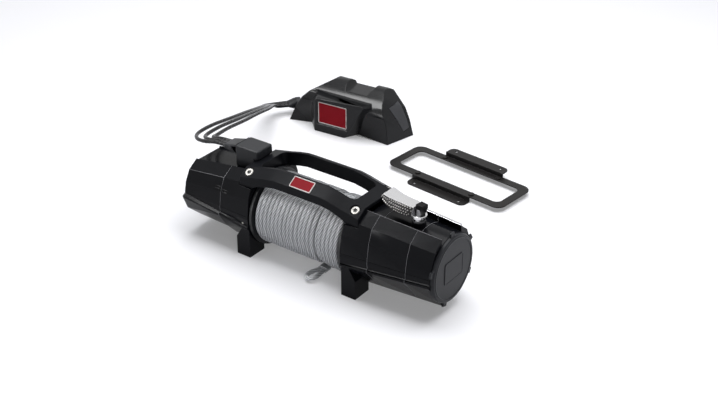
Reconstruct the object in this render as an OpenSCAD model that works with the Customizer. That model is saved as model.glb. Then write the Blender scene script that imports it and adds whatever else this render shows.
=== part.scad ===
// Electric recovery winch with its loose control pack and the pack's mounting frame.
// +X runs along the drum to the gear and clutch end, -Y is the side where the rope leaves, +Z is up.
// The origin is the centre of the four mounting holes, on the face that bolts down.

/* [Mounting] */
// Distance between the mounting holes along the drum
bolt_x = 254; // [252:0.5:256]
// Distance between the mounting holes across the drum
bolt_y = 114.3; // [112:0.1:117]
// Radius of a mounting hole
bolt_hole_r = 5.5; // [5:0.1:6]
// Height of the drum's axis over the mounting face
axis_h = 86; // [85:0.5:90]
// Width of a foot along the drum
foot_w = 33; // [31:0.5:35]
// Length of a foot pad across the drum
foot_len = 44; // [40:1:48]
// Height of the nut slot's floor over the mounting face
nut_seat_h = 11; // [10:0.5:14]
// Width across the flats of a square mounting nut
nut_w = 17; // [15:0.5:18]
// Height of a mounting nut
nut_h = 8; // [7:0.5:9]

/* [Housings] */
// Radius of the housings beside the drum
case_r = 82; // [80:0.5:84]
// Distance from the middle of the drum to a drum support's inner face
bay_half = 112; // [111:0.5:114]
// Distance from the middle of the drum to the motor cover's closed end
motor_end = 283; // [280:1:290]
// Distance from the middle of the drum to the seam of the motor cover
motor_seam = 186; // [182:1:190]
// Distance from the middle of the drum to the gear support's seam
gear_seam = 171; // [169:1:174]
// Distance from the middle of the drum to the end case's seam
end_seam = 252; // [251:0.5:254]
// Distance from the middle of the drum to the gear end's rim
gear_end = 303; // [300:1:308]
// Height of the lip that runs along both sides of the housings
lip_h = 7; // [5:0.5:9]
// How far the lip stands out of the housings
lip_out = 3; // [2:0.5:4]
// Thickness of the round end cap
cap_t = 7; // [6:0.5:9]
// Wall between the gear train and the drum bay
web_t = 16; // [14:0.5:18]

/* [Tie plate] */
// Height of the tie plate's middle over the mounting face
arch_h = 199; // [196:1:202]
// Height of the tie plate's ends over the mounting face
arch_end_h = 181; // [179:0.5:183]
// Half length of the tie plate
arch_half = 142; // [140:0.5:144]
// Half width of the tie plate's flat top
top_half = 44; // [43:0.5:46]
// Half width of the whole tie plate
tie_half = 66; // [64:0.5:68]
// How far the sloping faces drop to the plate's edge
tie_drop = 14; // [12:0.5:16]
// Depth of the tie plate's rails
tie_t = 29; // [27:0.5:30]
// Half length of the hand opening
hand_half = 114; // [110:1:116]
// Half width of the hand opening
hand_w_half = 38; // [36:0.5:40]
// Radius of the opening's corners
hand_r = 12; // [8:1:16]
// Height of the seats that carry the tie plate's ends
tie_seat_h = 150; // [148:0.5:152]
// Radius of a tie plate screw's head
tie_screw_r = 9; // [8:0.5:10]

/* [Drum and rope] */
// Radius of the drum's barrel
drum_r = 40; // [38:0.5:42]
// Radius of the drum's flanges
flange_r = 80; // [79:0.5:82]
// Thickness of a drum flange
flange_t = 6; // [5:0.5:7]
// Radius of the drum's bore
drum_bore_r = 30; // [29:0.5:31]
// Radius of the drum's journals
journal_r = 34; // [33.5:0.5:36]
// Diameter of the wire rope
rope_d = 9; // [8:0.25:9]
// Turns in the rope's outer layer
rope_turns = 21; // [20:1:21]
// Radius of the wound rope
rope_out_r = 75; // [73:0.5:76]

/* [Gear train] */
// Module of the gear teeth
gear_m = 1.7; // [1.65:0.05:1.7]
// Outer radius of the ring gear
ring_r = 58.5; // [58:0.25:59]
// Width of the planets in the last stage
planet_w3 = 34; // [32:1:35]
// Width of the planets in the middle stage
planet_w2 = 28; // [26:1:29]
// Width of the planets in the first stage
planet_w1 = 20; // [18:1:21]
// Thickness of a planet carrier
carrier_t = 8; // [7:0.25:8.5]
// Radius of the planet carriers
carrier_r = 46; // [44:0.5:47]
// Radius of a planet pin
planet_pin_r = 5; // [4:0.25:6]
// Radius of the drive shaft's corners
hex_r = 4.8; // [4.5:0.1:4.9]

/* [Motor] */
// Outer radius of the motor's steel can
can_r = 58; // [57:0.5:59]
// Wall of the motor's can
can_t = 5; // [4:0.5:6]
// Length of the motor's can
can_len = 116; // [112:1:118]
// Radius of the armature
armature_r = 38; // [37:0.5:39]
// Length of the armature's core
core_len = 60; // [56:1:64]
// Radius of the armature's shaft
motor_shaft_r = 8; // [7:0.25:9]
// Radius of the commutator
commutator_r = 20; // [18:0.5:22]

/* [Clutch lever] */
// Distance from the middle of the drum to the lever's pivot
lever_x = 238; // [236:0.5:239]
// Distance of the lever's pivot in front of the drum's axis
lever_y = 9; // [8:0.5:10]
// Height of the lever's underside over the mounting face
lever_h = 189; // [187:0.5:192]
// Thickness of the lever
lever_t = 13; // [11:0.5:15]
// Length of the lever from its pivot
lever_len = 80; // [76:1:84]
// Radius of the lever's hub
lever_hub_r = 18; // [16:0.5:19]
// Radius of the lever's shaft
lever_shaft_r = 6; // [5:0.25:7]

/* [Terminal boot] */
// Width of the terminal boot along the drum
boot_w = 60; // [56:1:62]
// Width of the terminal boot across the drum
boot_d = 50; // [46:1:54]
// Height of the boot's top over the mounting face
boot_h = 203; // [200:1:206]
// Diameter of a motor lead
lead_d = 8; // [7.5:0.25:8.5]

/* [Control pack] */
// Width of the control pack at its back
pack_w = 322; // [316:1:328]
// Depth of the control pack
pack_d = 78; // [76:1:82]
// Height of the control pack
pack_h = 113; // [110:1:116]
// Wall of the control pack
pack_t = 4; // [3.5:0.25:5]
// Thickness of the control pack's base
pack_base_t = 4; // [3:0.5:5]
// How far the badge housing stands out of the pack
brow_out = 19; // [17:1:22]

/* [Mounting frame] */
// Length of the mounting frame
frame_len = 314; // [308:1:320]
// Depth of the mounting frame
frame_d = 118; // [114:1:122]
// Width of the mounting frame's rails
frame_rail = 19; // [17:0.5:21]
// Thickness of the mounting frame's plate
frame_t = 3; // [2.5:0.25:4]
// Length of the mounting frame's flanges
wing_len = 158; // [152:1:164]
// Depth of the mounting frame's flanges
wing_d = 27; // [24:1:30]
// Height of the mounting frame's top over the floor
frame_h = 13; // [11:0.5:15]

/* [Hidden] */

// Overrun of every cut, and the thin slices that the tapered housings are drawn between
cut = 1;
leaf = 0.5;
// Running clearance of a shaft, gap between bodies that turn past each other, and gap round a seated piece
run_gap = 0.05;
bushing_t = 4;
bushing_r = journal_r + bushing_t;
side_gap = 0.5;
seat_gap = 0.3;

// Half section of the housings as shares of case_r, measured from the drum's axis:
// rib corner, facet corner, shoulder, barrel centre height, barrel radius, lip, lower corner, bottom corner,
// and the height of the flat between the ribs
drum_shares = [[.463, 1.098], [.805, .902], [.94, .54], 0, 1, [.988, -.146], [.707, -.512],
    [.415, -.866], .97];
motor_shares = [[.427, .793], [.707, .61], [.854, .34], -.024, .915, [.963, .049], [.854, -.39],
    [.439, -.76], .745];
gear_shares = [[.39, .963], [.659, .744], [.78, .46], .061, .841, [.841, .024], [.561, -.402],
    [.268, -.829], .91];
// Where the shoulder meets the barrel, in degrees, and the ribs' inner corners as shares of case_r
shoulder_angle = 5;
rib_root_shares = [[.49, .05], [.41, .7]];
barrel_steps = 22;

function mix(a, b, t) = [for (i = [0:len(a) - 1])
    is_list(a[i]) ? mix(a[i], b[i], t) : a[i] + (b[i] - a[i]) * t];
function grow(a, k) = [for (v = a) is_list(v) ? grow(v, k) : v * k];
function section_at(x) = grow(x < 0
    ? mix(drum_shares, motor_shares, (-x - bay_half) / (motor_end - bay_half))
    : mix(drum_shares, gear_shares, (x - bay_half) / (gear_end - bay_half)), case_r);
function mirror_y(pts) = [for (i = [len(pts) - 1:-1:0]) [-pts[i].x, pts[i].y]];

// Upper half of the barrel, from lip to lip
function barrel_pts(s) = let (a0 = asin((s[5].y - s[3]) / s[4]))
    [for (i = [0:barrel_steps]) let (a = a0 + (180 - 2 * a0) * i / barrel_steps)
        [s[4] * cos(a), min(s[3] + s[4] * sin(a), s[8])]];
// Lower half with its lips, its underside lower by drop
function lower_pts(s, drop = 0) = let (side = [[s[7].x, s[7].y - drop], [s[6].x, s[6].y - drop],
        [s[5].x + lip_out, s[5].y - lip_h], [s[5].x + lip_out, s[5].y]])
    concat(side, mirror_y(side));
// Rib with its sloping facet and shoulder, on the side that sign names
function rib_pts(s, sign) = [for (p = [s[0], s[1], s[2],
        [s[4] * cos(shoulder_angle), s[3] + s[4] * sin(shoulder_angle)],
        rib_root_shares[0] * case_r, rib_root_shares[1] * case_r]) [sign * p.x, p.y]];

// Draws a flat outline, given as points across and over the drum's axis, as a slab along the drum
module slab(x0, x1, pts) {
    translate([x0, 0, axis_h]) rotate([90, 0, 90]) linear_extrude(x1 - x0) polygon(pts);
}
module plate_2d(x0, x1) {
    translate([x0, 0, axis_h]) rotate([90, 0, 90]) linear_extrude(x1 - x0) children();
}
module loft(x0, x1, f) {
    hull() {
        slab(x0, x0 + leaf, f(section_at(x0)));
        slab(x1 - leaf, x1, f(section_at(x1)));
    }
}
module rod(x0, x1, r, fn = 64) {
    translate([x0, 0, axis_h]) rotate([0, 90, 0]) cylinder(h = x1 - x0, r = r, $fn = fn);
}
module tube(x0, x1, ro, ri) {
    difference() {
        rod(x0, x1, ro);
        rod(x0 - cut, x1 + cut, ri);
    }
}
// Tapered housing from x0 to x1, whole inside
module housing(x0, x1) {
    loft(x0, x1, function(s) barrel_pts(s));
    loft(x0, x1, function(s) lower_pts(s));
    for (sign = [-1, 1]) loft(x0, x1, function(s) rib_pts(s, sign));
}

// Places along the drum
web_x = bay_half + web_t;
carrier3_x = web_x + 2 * side_gap;
planet3_x = carrier3_x + carrier_t + side_gap;
carrier2_x = planet3_x + planet_w3 + 2 * side_gap;
planet2_x = carrier2_x + carrier_t + side_gap;
carrier1_x = planet2_x + planet_w2 + 2 * side_gap;
planet1_x = carrier1_x + carrier_t + side_gap;
train_end = planet1_x + planet_w1 + 2 * side_gap;
tail_web_x = end_seam;
tail_web_t = 12;
drum_face = bay_half - flange_t - 2 * cut;
flange_x = drum_face + flange_t;
journal_x = web_x - 2 * side_gap;

// Sizes of the foot pads, nut slots and tie plate screws
foot_h = 66;
foot_low_h = 40;
pad_y = bolt_y / 2;
foot_x = [bay_half, bay_half + foot_w];
slot_gap = 0.4;
belly_drop = 5;
tie_screw_y = 54;
tie_screw_shank_r = 4;
tie_screw_len = 34;
tie_screw_head_h = 4;
socket_r = 3.5;
tie_slope = atan(tie_drop / (tie_half - top_half));

// Foot pads with their nut slots, on the side that sign names
module foot_pads(sign) {
    for (sy = [-1, 1])
        translate([sign > 0 ? foot_x[0] : -foot_x[1], sy * pad_y - foot_len / 2, 0])
            mirror([sign > 0 ? 0 : 1, 0, 0]) translate([sign > 0 ? 0 : -foot_w, foot_len, 0]) rotate([90, 0, 0])
                linear_extrude(foot_len) polygon([[0, 0], [foot_w, 0], [foot_w, foot_low_h],
                    [foot_w / 2, foot_h], [0, foot_h]]);
}
module mount_cuts(sign) {
    for (sy = [-1, 1]) translate([sign * bolt_x / 2, sy * pad_y, 0]) {
        translate([0, 0, -cut]) cylinder(h = foot_low_h, r = bolt_hole_r, $fn = 48);
        translate([-nut_w / 2 - slot_gap, -nut_w / 2 - slot_gap, nut_seat_h])
            cube([nut_w + 2 * slot_gap, nut_w + 2 * slot_gap, nut_h + slot_gap]);
        translate([-nut_w / 2 - slot_gap, sy > 0 ? -foot_len : 0, nut_seat_h])
            cube([nut_w + 2 * slot_gap, foot_len, nut_h + slot_gap]);
    }
}
module at_tie_screws(x_list) {
    for (x = x_list, sy = [-1, 1])
        translate([x, sy * tie_screw_y, tie_face_h(bolt_x / 2) - (tie_screw_y - top_half) * tan(tie_slope)])
            rotate([-sy * tie_slope, 0, 0]) children();
}
module support(sign, seam) {
    x0 = sign > 0 ? bay_half : -seam;
    x1 = sign > 0 ? seam : -bay_half;
    difference() {
        union() {
            housing(x0, x1);
            if (sign < 0) loft(x0, x1, function(s) lower_pts(s, belly_drop));
            foot_pads(sign);
        }
        translate([sign > 0 ? bay_half - cut : -arch_half - seat_gap, -case_r - lip_out, tie_seat_h])
            cube([arch_half - bay_half + seat_gap + cut, 2 * (case_r + lip_out), case_r]);
        mount_cuts(sign);
        rod(sign > 0 ? x0 - cut : -web_x - cut, sign > 0 ? web_x + cut : x1 + cut, bushing_r);
        rod(sign > 0 ? web_x : x0 - cut, sign > 0 ? x1 + cut : -web_x, sign > 0 ? ring_r : can_r + seat_gap);
        at_tie_screws([sign * bolt_x / 2]) translate([0, 0, -tie_screw_len])
            cylinder(h = tie_screw_len, r = tie_screw_shank_r, $fn = 32);
    }
}
module motor_support() color("#202124") support(-1, motor_seam);
module gear_support() color("#202124") support(1, gear_seam);

// Tie plate: heights of its arched top, and of the edge under its sloping sides, along its half length
arch_shares = [[0, 1], [.4, 1], [.54, .81], [.7, .5], [.9, .17], [1, 0]];
edge_table = [[0, 168], [.4, 167.5], [.54, 164], [.7, 157], [.8, tie_seat_h], [1, tie_seat_h]];
function tie_face_h(x) = lookup(abs(x) / arch_half, arch_shares) * (arch_h - arch_end_h) + arch_end_h;
station_shares = [0, .4, .54, .7, .8, .9, 1];
tie_stations = concat([for (i = [len(station_shares) - 1:-1:1]) -arch_half * station_shares[i]],
    arch_half * station_shares);
// One cross-section of the plate, as points across and over the mounting face
function tie_section(x) = let (z = tie_face_h(x), e = lookup(abs(x) / arch_half, edge_table)) [[-tie_half, e],
    [-tie_half, z - tie_drop], [-top_half, z], [top_half, z], [tie_half, z - tie_drop], [tie_half, e],
    [top_half, z - tie_t], [-top_half, z - tie_t]];
// Plain section inside the plate, for the blocks that fill its ends
block_in = 2;
function block_section(x) = let (z = tie_face_h(x) - block_in, w = tie_half - block_in) [[-w, axis_h],
    [-w, z - tie_drop], [-top_half, z], [top_half, z], [w, z - tie_drop], [w, axis_h]];
// Joins the cross-sections at the tie plate's stations
module along_stations(f) {
    n = len(f(0));
    m = len(tie_stations);
    polyhedron(points = [for (x = tie_stations) each [for (p = f(x)) [x, p.x, p.y]]],
        faces = concat([[for (k = [n - 1:-1:0]) k], [for (k = [0:n - 1]) (m - 1) * n + k]],
            [for (i = [0:m - 2], k = [0:n - 1]) let (a = i * n + k, b = i * n + (k + 1) % n)
                [a, b, b + n, a + n]]), convexity = 8);
}
module tie_plate() color("#26272a") difference() {
    union() {
        along_stations(function(x) tie_section(x));
        for (sx = [-1, 1]) intersection() {
            translate([sx > 0 ? bay_half + side_gap : block_in - arch_half, -tie_half, tie_seat_h + seat_gap])
                cube([arch_half - bay_half - side_gap - block_in, 2 * tie_half, arch_h]);
            along_stations(function(x) block_section(x));
        }
    }
    translate([0, 0, tie_seat_h]) linear_extrude(arch_h) round_rect(2 * hand_half, 2 * hand_w_half, hand_r);
    at_tie_screws([-bolt_x / 2, bolt_x / 2]) {
        translate([0, 0, -tie_screw_head_h - seat_gap])
            cylinder(h = tie_screw_head_h + tie_t, r = tie_screw_r + 2 * seat_gap, $fn = 48);
        translate([0, 0, -tie_screw_len])
            cylinder(h = tie_screw_len, r = tie_screw_shank_r + seat_gap, $fn = 32);
    }
}
module tie_plate_screws() color("silver") at_tie_screws([-bolt_x / 2, bolt_x / 2]) difference() {
    union() {
        translate([0, 0, -tie_screw_head_h - seat_gap])
            cylinder(h = tie_screw_head_h, r = tie_screw_r, $fn = 48);
        translate([0, 0, -tie_screw_len]) cylinder(h = tie_screw_len - tie_screw_head_h, r = tie_screw_shank_r,
            $fn = 32);
    }
    translate([0, 0, -tie_screw_head_h]) cylinder(h = tie_screw_head_h, r = socket_r, $fn = 6);
}
module mounting_nuts() color("dimgray") for (sx = [-1, 1], sy = [-1, 1])
    translate([sx * bolt_x / 2, sy * pad_y, nut_seat_h]) difference() {
        translate([-nut_w / 2, -nut_w / 2, 0]) cube([nut_w, nut_w, nut_h]);
        translate([0, 0, -cut]) cylinder(h = nut_h + 2 * cut, r = bolt_hole_r, $fn = 48);
    }

// Motor cover: closed at its outer end, open to the drum support
motor_end_t = 6;
module motor_cover() color("#1d1e20") difference() {
    housing(-motor_end, -motor_seam);
    rod(-motor_end + motor_end_t, -motor_seam + cut, can_r + seat_gap);
}
bell_t = 9;
can_x = -web_x - bell_t;
rear_bell_x = can_x - can_len;
module motor_can() color("#5b5d60") tube(rear_bell_x, can_x, can_r, can_r - can_t);
module bell(x0, x1, bearing_w) difference() {
    rod(x0, x1, can_r);
    rod(x0 - cut, x1 + cut, bearing_r);
}
bearing_r = 17;
module front_bell() color("#77797c") bell(can_x, -web_x, bell_t);
module rear_bell() color("#77797c") bell(rear_bell_x - bell_t, rear_bell_x, bell_t);
module motor_bearing(x0) tube(x0, x0 + bell_t, bearing_r, motor_shaft_r + run_gap);
module front_bearing() color("silver") motor_bearing(can_x);
module rear_bearing() color("silver") motor_bearing(rear_bell_x - bell_t);

// Four pole shoes with the field coils round them
core_gap = 16;
core_x = can_x - core_gap - core_len;
pole_angle = 56;
pole_air_gap = 1.2;
coil_angle = 82;
coil_t = 7;
module sector(x0, x1, ro, ri, angle, turn) {
    translate([x0, 0, axis_h]) rotate([0, 90, 0]) rotate([0, 0, turn - angle / 2])
        rotate_extrude(angle = angle, $fn = 72) translate([ri, 0]) square([ro - ri, x1 - x0]);
}
module field_poles() color("#8a4b2a") for (a = [45:90:315]) {
    sector(core_x, core_x + core_len, can_r - can_t, armature_r + pole_air_gap, pole_angle, a);
    sector(core_x - coil_t, core_x + core_len + coil_t, can_r - can_t, can_r - can_t - coil_t, coil_angle, a);
}

// Armature: slotted core, end windings and commutator on one shaft
slots = 12;
slot_w = 4;
slot_d = 9;
winding_len = 9;
commutator_len = 16;
bars = 12;
bar_cut_w = 0.8;
bar_cut_d = 2;
module armature_core() color("#6d7074") difference() {
    tube(core_x, core_x + core_len, armature_r, motor_shaft_r);
    for (i = [0:slots - 1]) translate([core_x - cut, 0, axis_h]) rotate([i * 360 / slots, 0, 0])
        translate([0, -slot_w / 2, armature_r - slot_d]) cube([core_len + 2 * cut, slot_w, slot_d + cut]);
}
module armature_windings() color("#b5642d") for (x = [core_x - winding_len, core_x + core_len])
    tube(x, x + winding_len, armature_r - slot_d / 3, motor_shaft_r);
commutator_x = core_x - winding_len - commutator_len;
module commutator() color("#c27a42") difference() {
    tube(commutator_x, commutator_x + commutator_len, commutator_r, motor_shaft_r);
    for (i = [0:bars - 1]) translate([commutator_x - cut, 0, axis_h]) rotate([i * 360 / bars, 0, 0])
        translate([0, -bar_cut_w / 2, commutator_r - bar_cut_d])
            cube([commutator_len + 2 * cut, bar_cut_w, bar_cut_d + cut]);
}
brush_w = 10;
brush_len = 16;
brush_t = 10;
brush_x = commutator_x + commutator_len / 2;
brush_ring_t = 3;
module brushes() color("#2b2b2b") for (a = [0:90:270]) translate([brush_x, 0, axis_h]) rotate([a, 0, 0])
    translate([-brush_w / 2, -brush_t / 2, commutator_r + seat_gap]) cube([brush_w, brush_t, brush_len]);
module brush_ring() color("#3a2c20") difference() {
    union() {
        tube(rear_bell_x, rear_bell_x + brush_ring_t, can_r - can_t, commutator_r + brush_ring_t);
        for (a = [0:90:270]) translate([rear_bell_x, 0, axis_h]) rotate([a, 0, 0])
            translate([0, -brush_t / 2 - brush_ring_t, commutator_r + brush_ring_t])
                cube([brush_x + brush_w / 2 + brush_ring_t - rear_bell_x, brush_t + 2 * brush_ring_t,
                    brush_len]);
    }
    for (a = [0:90:270]) translate([brush_x, 0, axis_h]) rotate([a, 0, 0])
        translate([-brush_w / 2, -brush_t / 2, commutator_r]) cube([brush_w, brush_t, can_r]);
}

// Drum with its flanges, journals and bore
module drum() color("#2c2d30") difference() {
    union() {
        rod(-flange_x, flange_x, drum_r);
        for (x = [-flange_x, drum_face]) rod(x, x + flange_t, flange_r, 96);
        rod(-journal_x, journal_x, journal_r);
    }
    rod(-journal_x - cut, journal_x + cut, drum_bore_r);
}
module bushing(x0) tube(x0, x0 + web_t - side_gap, bushing_r, journal_r + run_gap);
module drum_bushing_motor() color("goldenrod") bushing(-web_x);
module drum_bushing_gear() color("goldenrod") bushing(bay_half + side_gap);

// Rope on the drum: the inner layers are one plain core, the outer layer is one tube wound over it
rope_r = rope_d / 2;
wind_r = rope_out_r - rope_r;
core_r = wind_r - rope_r - 2 * seat_gap;
wind_half = drum_face - rope_r - seat_gap;
rope_sides = 6;
rope_rings = 24;
// One turn lies lower than the others, three quarters of the way along
dip_share = .73;
dip_width_share = .035;
dip = rope_d / 2;
function wind_dip(t) = dip * exp(-pow((t - dip_share) / dip_width_share, 2));
function wind_pt(t) = let (a = wind_start - 360 * rope_turns * t, r = wind_r - wind_dip(t))
    [-wind_half + 2 * wind_half * t, r * cos(a), axis_h + r * sin(a)];
wind_start = -90;
wind_steps = rope_turns * rope_rings;
wind_loops = [for (i = [0:wind_steps]) wind_pt(i / wind_steps)];
function unit(v) = v / norm(v);
// Both ends run on straight for one rope diameter
wind_path = concat([wind_loops[0] - rope_d * unit(wind_loops[1] - wind_loops[0])], wind_loops,
    [wind_loops[wind_steps] + rope_d * unit(wind_loops[wind_steps] - wind_loops[wind_steps - 1])]);
function path_dir(p, i) = unit(p[min(i + 1, len(p) - 1)] - p[max(i - 1, 0)]);
// Sweeps a tube of n sides along a path, with its sides kept level to the reference direction
function ring_at(p, i, r, n, ref) = let (d = path_dir(p, i), u = unit(cross(ref, d)), v = cross(d, u))
    [for (k = [0:n - 1]) p[i] + r * (u * cos(360 * k / n) + v * sin(360 * k / n))];
module sweep(p, r, n, ref) {
    m = len(p);
    pts = [for (i = [0:m - 1]) each ring_at(p, i, r, n, ref)];
    sides = [for (i = [0:m - 2], k = [0:n - 1]) let (a = i * n + k, b = i * n + (k + 1) % n)
        each [[a, b, b + n], [a, b + n, a + n]]];
    ends = [[for (k = [n - 1:-1:0]) k], [for (k = [0:n - 1]) (m - 1) * n + k]];
    polyhedron(points = pts, faces = concat(ends, sides), convexity = 10);
}
module rope_core() color("#9fa1a3") tube(-drum_face + seat_gap, drum_face - seat_gap, core_r - dip, drum_r);
module rope_winding() color("#b9bbbd") sweep(wind_path, rope_r, rope_sides, [1, 0, 0]);
// Least gap of the winding to itself, between points of neighbouring turns
wind_gap = min([for (i = [0:wind_steps - rope_rings]) norm(wind_loops[i + rope_rings] - wind_loops[i])])
    - rope_d;
echo("least gap of the winding to itself", wind_gap);

// Planetary gear train: three stages with one long ring gear
sun_teeth = 12;
planet_teeth = 24;
ring_teeth = sun_teeth + 2 * planet_teeth;
pressure_angle = 20;
// Tooth height over and under the pitch circle, and the thinning of each flank, as shares of the module
tooth_shares = [.8, 1.05, .06];
train_r = gear_m * (sun_teeth + planet_teeth) / 2;
sun_bore_room = 0.4;
sun_bore_r = hex_r + sun_bore_room;
function involute(a) = tan(a) * 180 / PI - a;
function half_tooth(z, r, slack) = let (rp = gear_m * z / 2, rb = rp * cos(pressure_angle))
    90 / z - slack * gear_m / rp * 180 / PI + involute(pressure_angle) - involute(acos(min(1, rb / r)));
// Outline with z teeth: low and high are shares of the module under and over the pitch circle
function gear_pts(z, low, high, slack) = let (rp = gear_m * z / 2,
        radii = [rp - low * gear_m, rp, rp + high * gear_m])
    [for (k = [0:z - 1]) each concat(
        [for (r = radii) let (a = 360 * k / z - half_tooth(z, r, slack)) r * [cos(a), sin(a)]],
        [for (i = [2:-1:0]) let (r = radii[i], a = 360 * k / z + half_tooth(z, r, slack)) r * [cos(a), sin(a)]])];
module toothed(x0, x1, z, turn) {
    plate_2d(x0, x1) rotate(turn) polygon(gear_pts(z, tooth_shares[1], tooth_shares[0], tooth_shares[2]));
}
stage_angle = 90;
pocket_r = lever_shaft_r + 4 * side_gap;
pocket_depth = 2;
module ring_gear() color("#8d9094") difference() {
    rod(web_x, end_seam - side_gap, ring_r, 96);
    plate_2d(web_x - cut, end_seam + cut) rotate(stage_angle + 180 / ring_teeth)
        polygon(gear_pts(ring_teeth, tooth_shares[0], tooth_shares[1], -tooth_shares[2]));
    translate([lever_x, -lever_y, axis_h + sqrt(ring_r * ring_r - lever_y * lever_y) - pocket_depth])
        cylinder(h = ring_r, r = pocket_r, $fn = 48);
}
module carrier(x0, pin_len, hub_x, hub_r, bore) difference() {
    union() {
        rod(x0, x0 + carrier_t, carrier_r);
        if (hub_x < x0) rod(hub_x, x0 + cut, hub_r);
        for (i = [0:2]) plate_2d(x0, x0 + carrier_t + pin_len) rotate(stage_angle + 120 * i)
            translate([train_r, 0]) circle(planet_pin_r, $fn = 32);
    }
    rod(min(hub_x, x0) - cut, x0 + carrier_t + cut, bore);
}
module carrier_3() color("#7c7f83") carrier(carrier3_x, planet_w3 + side_gap, bay_half, drum_bore_r, sun_bore_r);
module carrier_2() color("#7c7f83") carrier(carrier2_x, planet_w2 + side_gap, carrier2_x, 0, sun_bore_r);
module carrier_1() color("#7c7f83") carrier(carrier1_x, planet_w1 + side_gap, carrier1_x, 0, sun_bore_r);
module sun(x0, x1, bore) difference() {
    toothed(x0, x1, sun_teeth, stage_angle);
    rod(x0 - cut, x1 + cut, bore);
}
module sun_3() color("#a5a8ab") sun(planet3_x, carrier2_x, sun_bore_r);
module sun_2() color("#a5a8ab") sun(planet2_x, carrier1_x, sun_bore_r);
module planet(x0, w, i) {
    a = stage_angle + 120 * i;
    translate([0, train_r * cos(a), train_r * sin(a)]) difference() {
        toothed(x0, x0 + w, planet_teeth, a + 180 / planet_teeth);
        rod(x0 - cut, x0 + w + cut, planet_pin_r + run_gap);
    }
}
module planet_3a() color("#94979a") planet(planet3_x, planet_w3, 0);
module planet_3b() color("#94979a") planet(planet3_x, planet_w3, 1);
module planet_3c() color("#94979a") planet(planet3_x, planet_w3, 2);
module planet_2a() color("#94979a") planet(planet2_x, planet_w2, 0);
module planet_2b() color("#94979a") planet(planet2_x, planet_w2, 1);
module planet_2c() color("#94979a") planet(planet2_x, planet_w2, 2);
module planet_1a() color("#94979a") planet(planet1_x, planet_w1, 0);
module planet_1b() color("#94979a") planet(planet1_x, planet_w1, 1);
module planet_1c() color("#94979a") planet(planet1_x, planet_w1, 2);
module sun_1() color("#a5a8ab") difference() {
    toothed(planet1_x, train_end - side_gap, sun_teeth, stage_angle);
    rod(planet1_x - cut, train_end + cut, hex_r, 6);
}
// One shaft from the motor through the drum to the first sun gear
coupling_r = 13;
tip_r = 4;
module drive_shaft() color("silver") {
    rod(rear_bell_x - bell_t, -web_x, motor_shaft_r);
    rod(-web_x, -bay_half, coupling_r);
    rod(-bay_half, train_end - side_gap, hex_r, 6);
    rod(train_end - side_gap, tail_web_x + tail_web_t - side_gap, tip_r);
}
tail_bearing_r = 10;
module tail_bearing() color("silver")
    tube(tail_web_x, tail_web_x + tail_web_t, tail_bearing_r, tip_r + run_gap);

// Gear case round the first stages, with the boss that carries the clutch lever
boss_r = 13.5;
boss_h = 172;
module gear_case() color("#202124") difference() {
    union() {
        housing(gear_seam, end_seam);
        translate([lever_x, -lever_y, axis_h + ring_r])
            cylinder(h = boss_h - axis_h - ring_r, r = boss_r, $fn = 64);
    }
    rod(gear_seam - cut, end_seam + cut, ring_r);
    translate([lever_x, -lever_y, axis_h]) cylinder(h = boss_h, r = lever_shaft_r + run_gap, $fn = 48);
}
// End case: a web for the tail bearing, a hollow, and the seat of the round cap
end_hollow_r = 50;
cap_seat_t = 4;
cap_r_share = .825;
cap_h_share = .061;
cap_r = case_r * cap_r_share;
cap_lift = case_r * cap_h_share;
end_wall_x = tail_web_x + tail_web_t;
module gear_end_case() color("#202124") difference() {
    housing(end_seam, gear_end);
    rod(end_seam - cut, end_wall_x + cut, tail_bearing_r);
    rod(end_wall_x, gear_end + cut, end_hollow_r);
    translate([0, 0, cap_lift]) rod(gear_end - cap_seat_t, gear_end + cut, cap_r + seat_gap, 96);
}
// Round cap with a spigot, a bevelled edge and five clips
clips = [30, 92, 165, 253, 330];
clip_w = 12;
clip_out = 8;
module gear_end_cap() color("#232427") {
    translate([0, 0, cap_lift]) {
        rod(gear_end - cap_seat_t, gear_end + cap_t - 2 * cut, cap_r, 96);
        translate([gear_end + cap_t - 2 * cut, 0, axis_h]) rotate([0, 90, 0])
            cylinder(h = 2 * cut, r1 = cap_r, r2 = cap_r - 2 * cut, $fn = 96);
        for (a = clips) translate([gear_end, 0, axis_h]) rotate([a, 0, 0])
            translate([seat_gap, cap_r - clip_out, -clip_w / 2]) cube([cap_t - 3 * cut, 2 * clip_out, clip_w]);
    }
    tube(end_wall_x + cap_seat_t, gear_end, end_hollow_r - seat_gap, end_hollow_r - cap_seat_t);
}

// Clutch lever, turned about an upright shaft whose foot drops into the ring gear's pocket
lever_outline_shares = [[-1, -.06], [-.97, .42], [-.76, .34], [-.4, .28], [0, .225], [0, -.225], [-.28, -.225],
    [-.6, -.19], [-.88, -.12]];
head_r = 12;
head_t = 3;
grip_steps = 7;
grip_d = 1.2;
mark_w = 11;
mark_t = 1;
module lever_plan() {
    polygon([for (p = lever_outline_shares) lever_len * p]);
    circle(lever_hub_r, $fn = 64);
}
module clutch_lever() color("#d4d6d8") translate([lever_x, -lever_y, lever_h]) difference() {
    union() {
        linear_extrude(lever_t) lever_plan();
        translate([0, 0, boss_h - lever_h + head_t + seat_gap])
            cylinder(h = lever_h - boss_h - head_t, r = head_r, $fn = 48);
    }
    translate([0, 0, -lever_h]) cylinder(h = lever_h + lever_t - 2 * mark_t - cut, r = lever_shaft_r, $fn = 48);
    for (i = [1:grip_steps]) translate([-lever_len * (.2 + .1 * i), -lever_len, lever_t / 2])
        cube([grip_d, lever_len * .87, grip_d]);
    translate([0, 0, lever_t - mark_t]) rotate(45) translate([-mark_w / 2, -mark_w / 2, 0])
        cube([mark_w, mark_w, mark_t + cut]);
}
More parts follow.
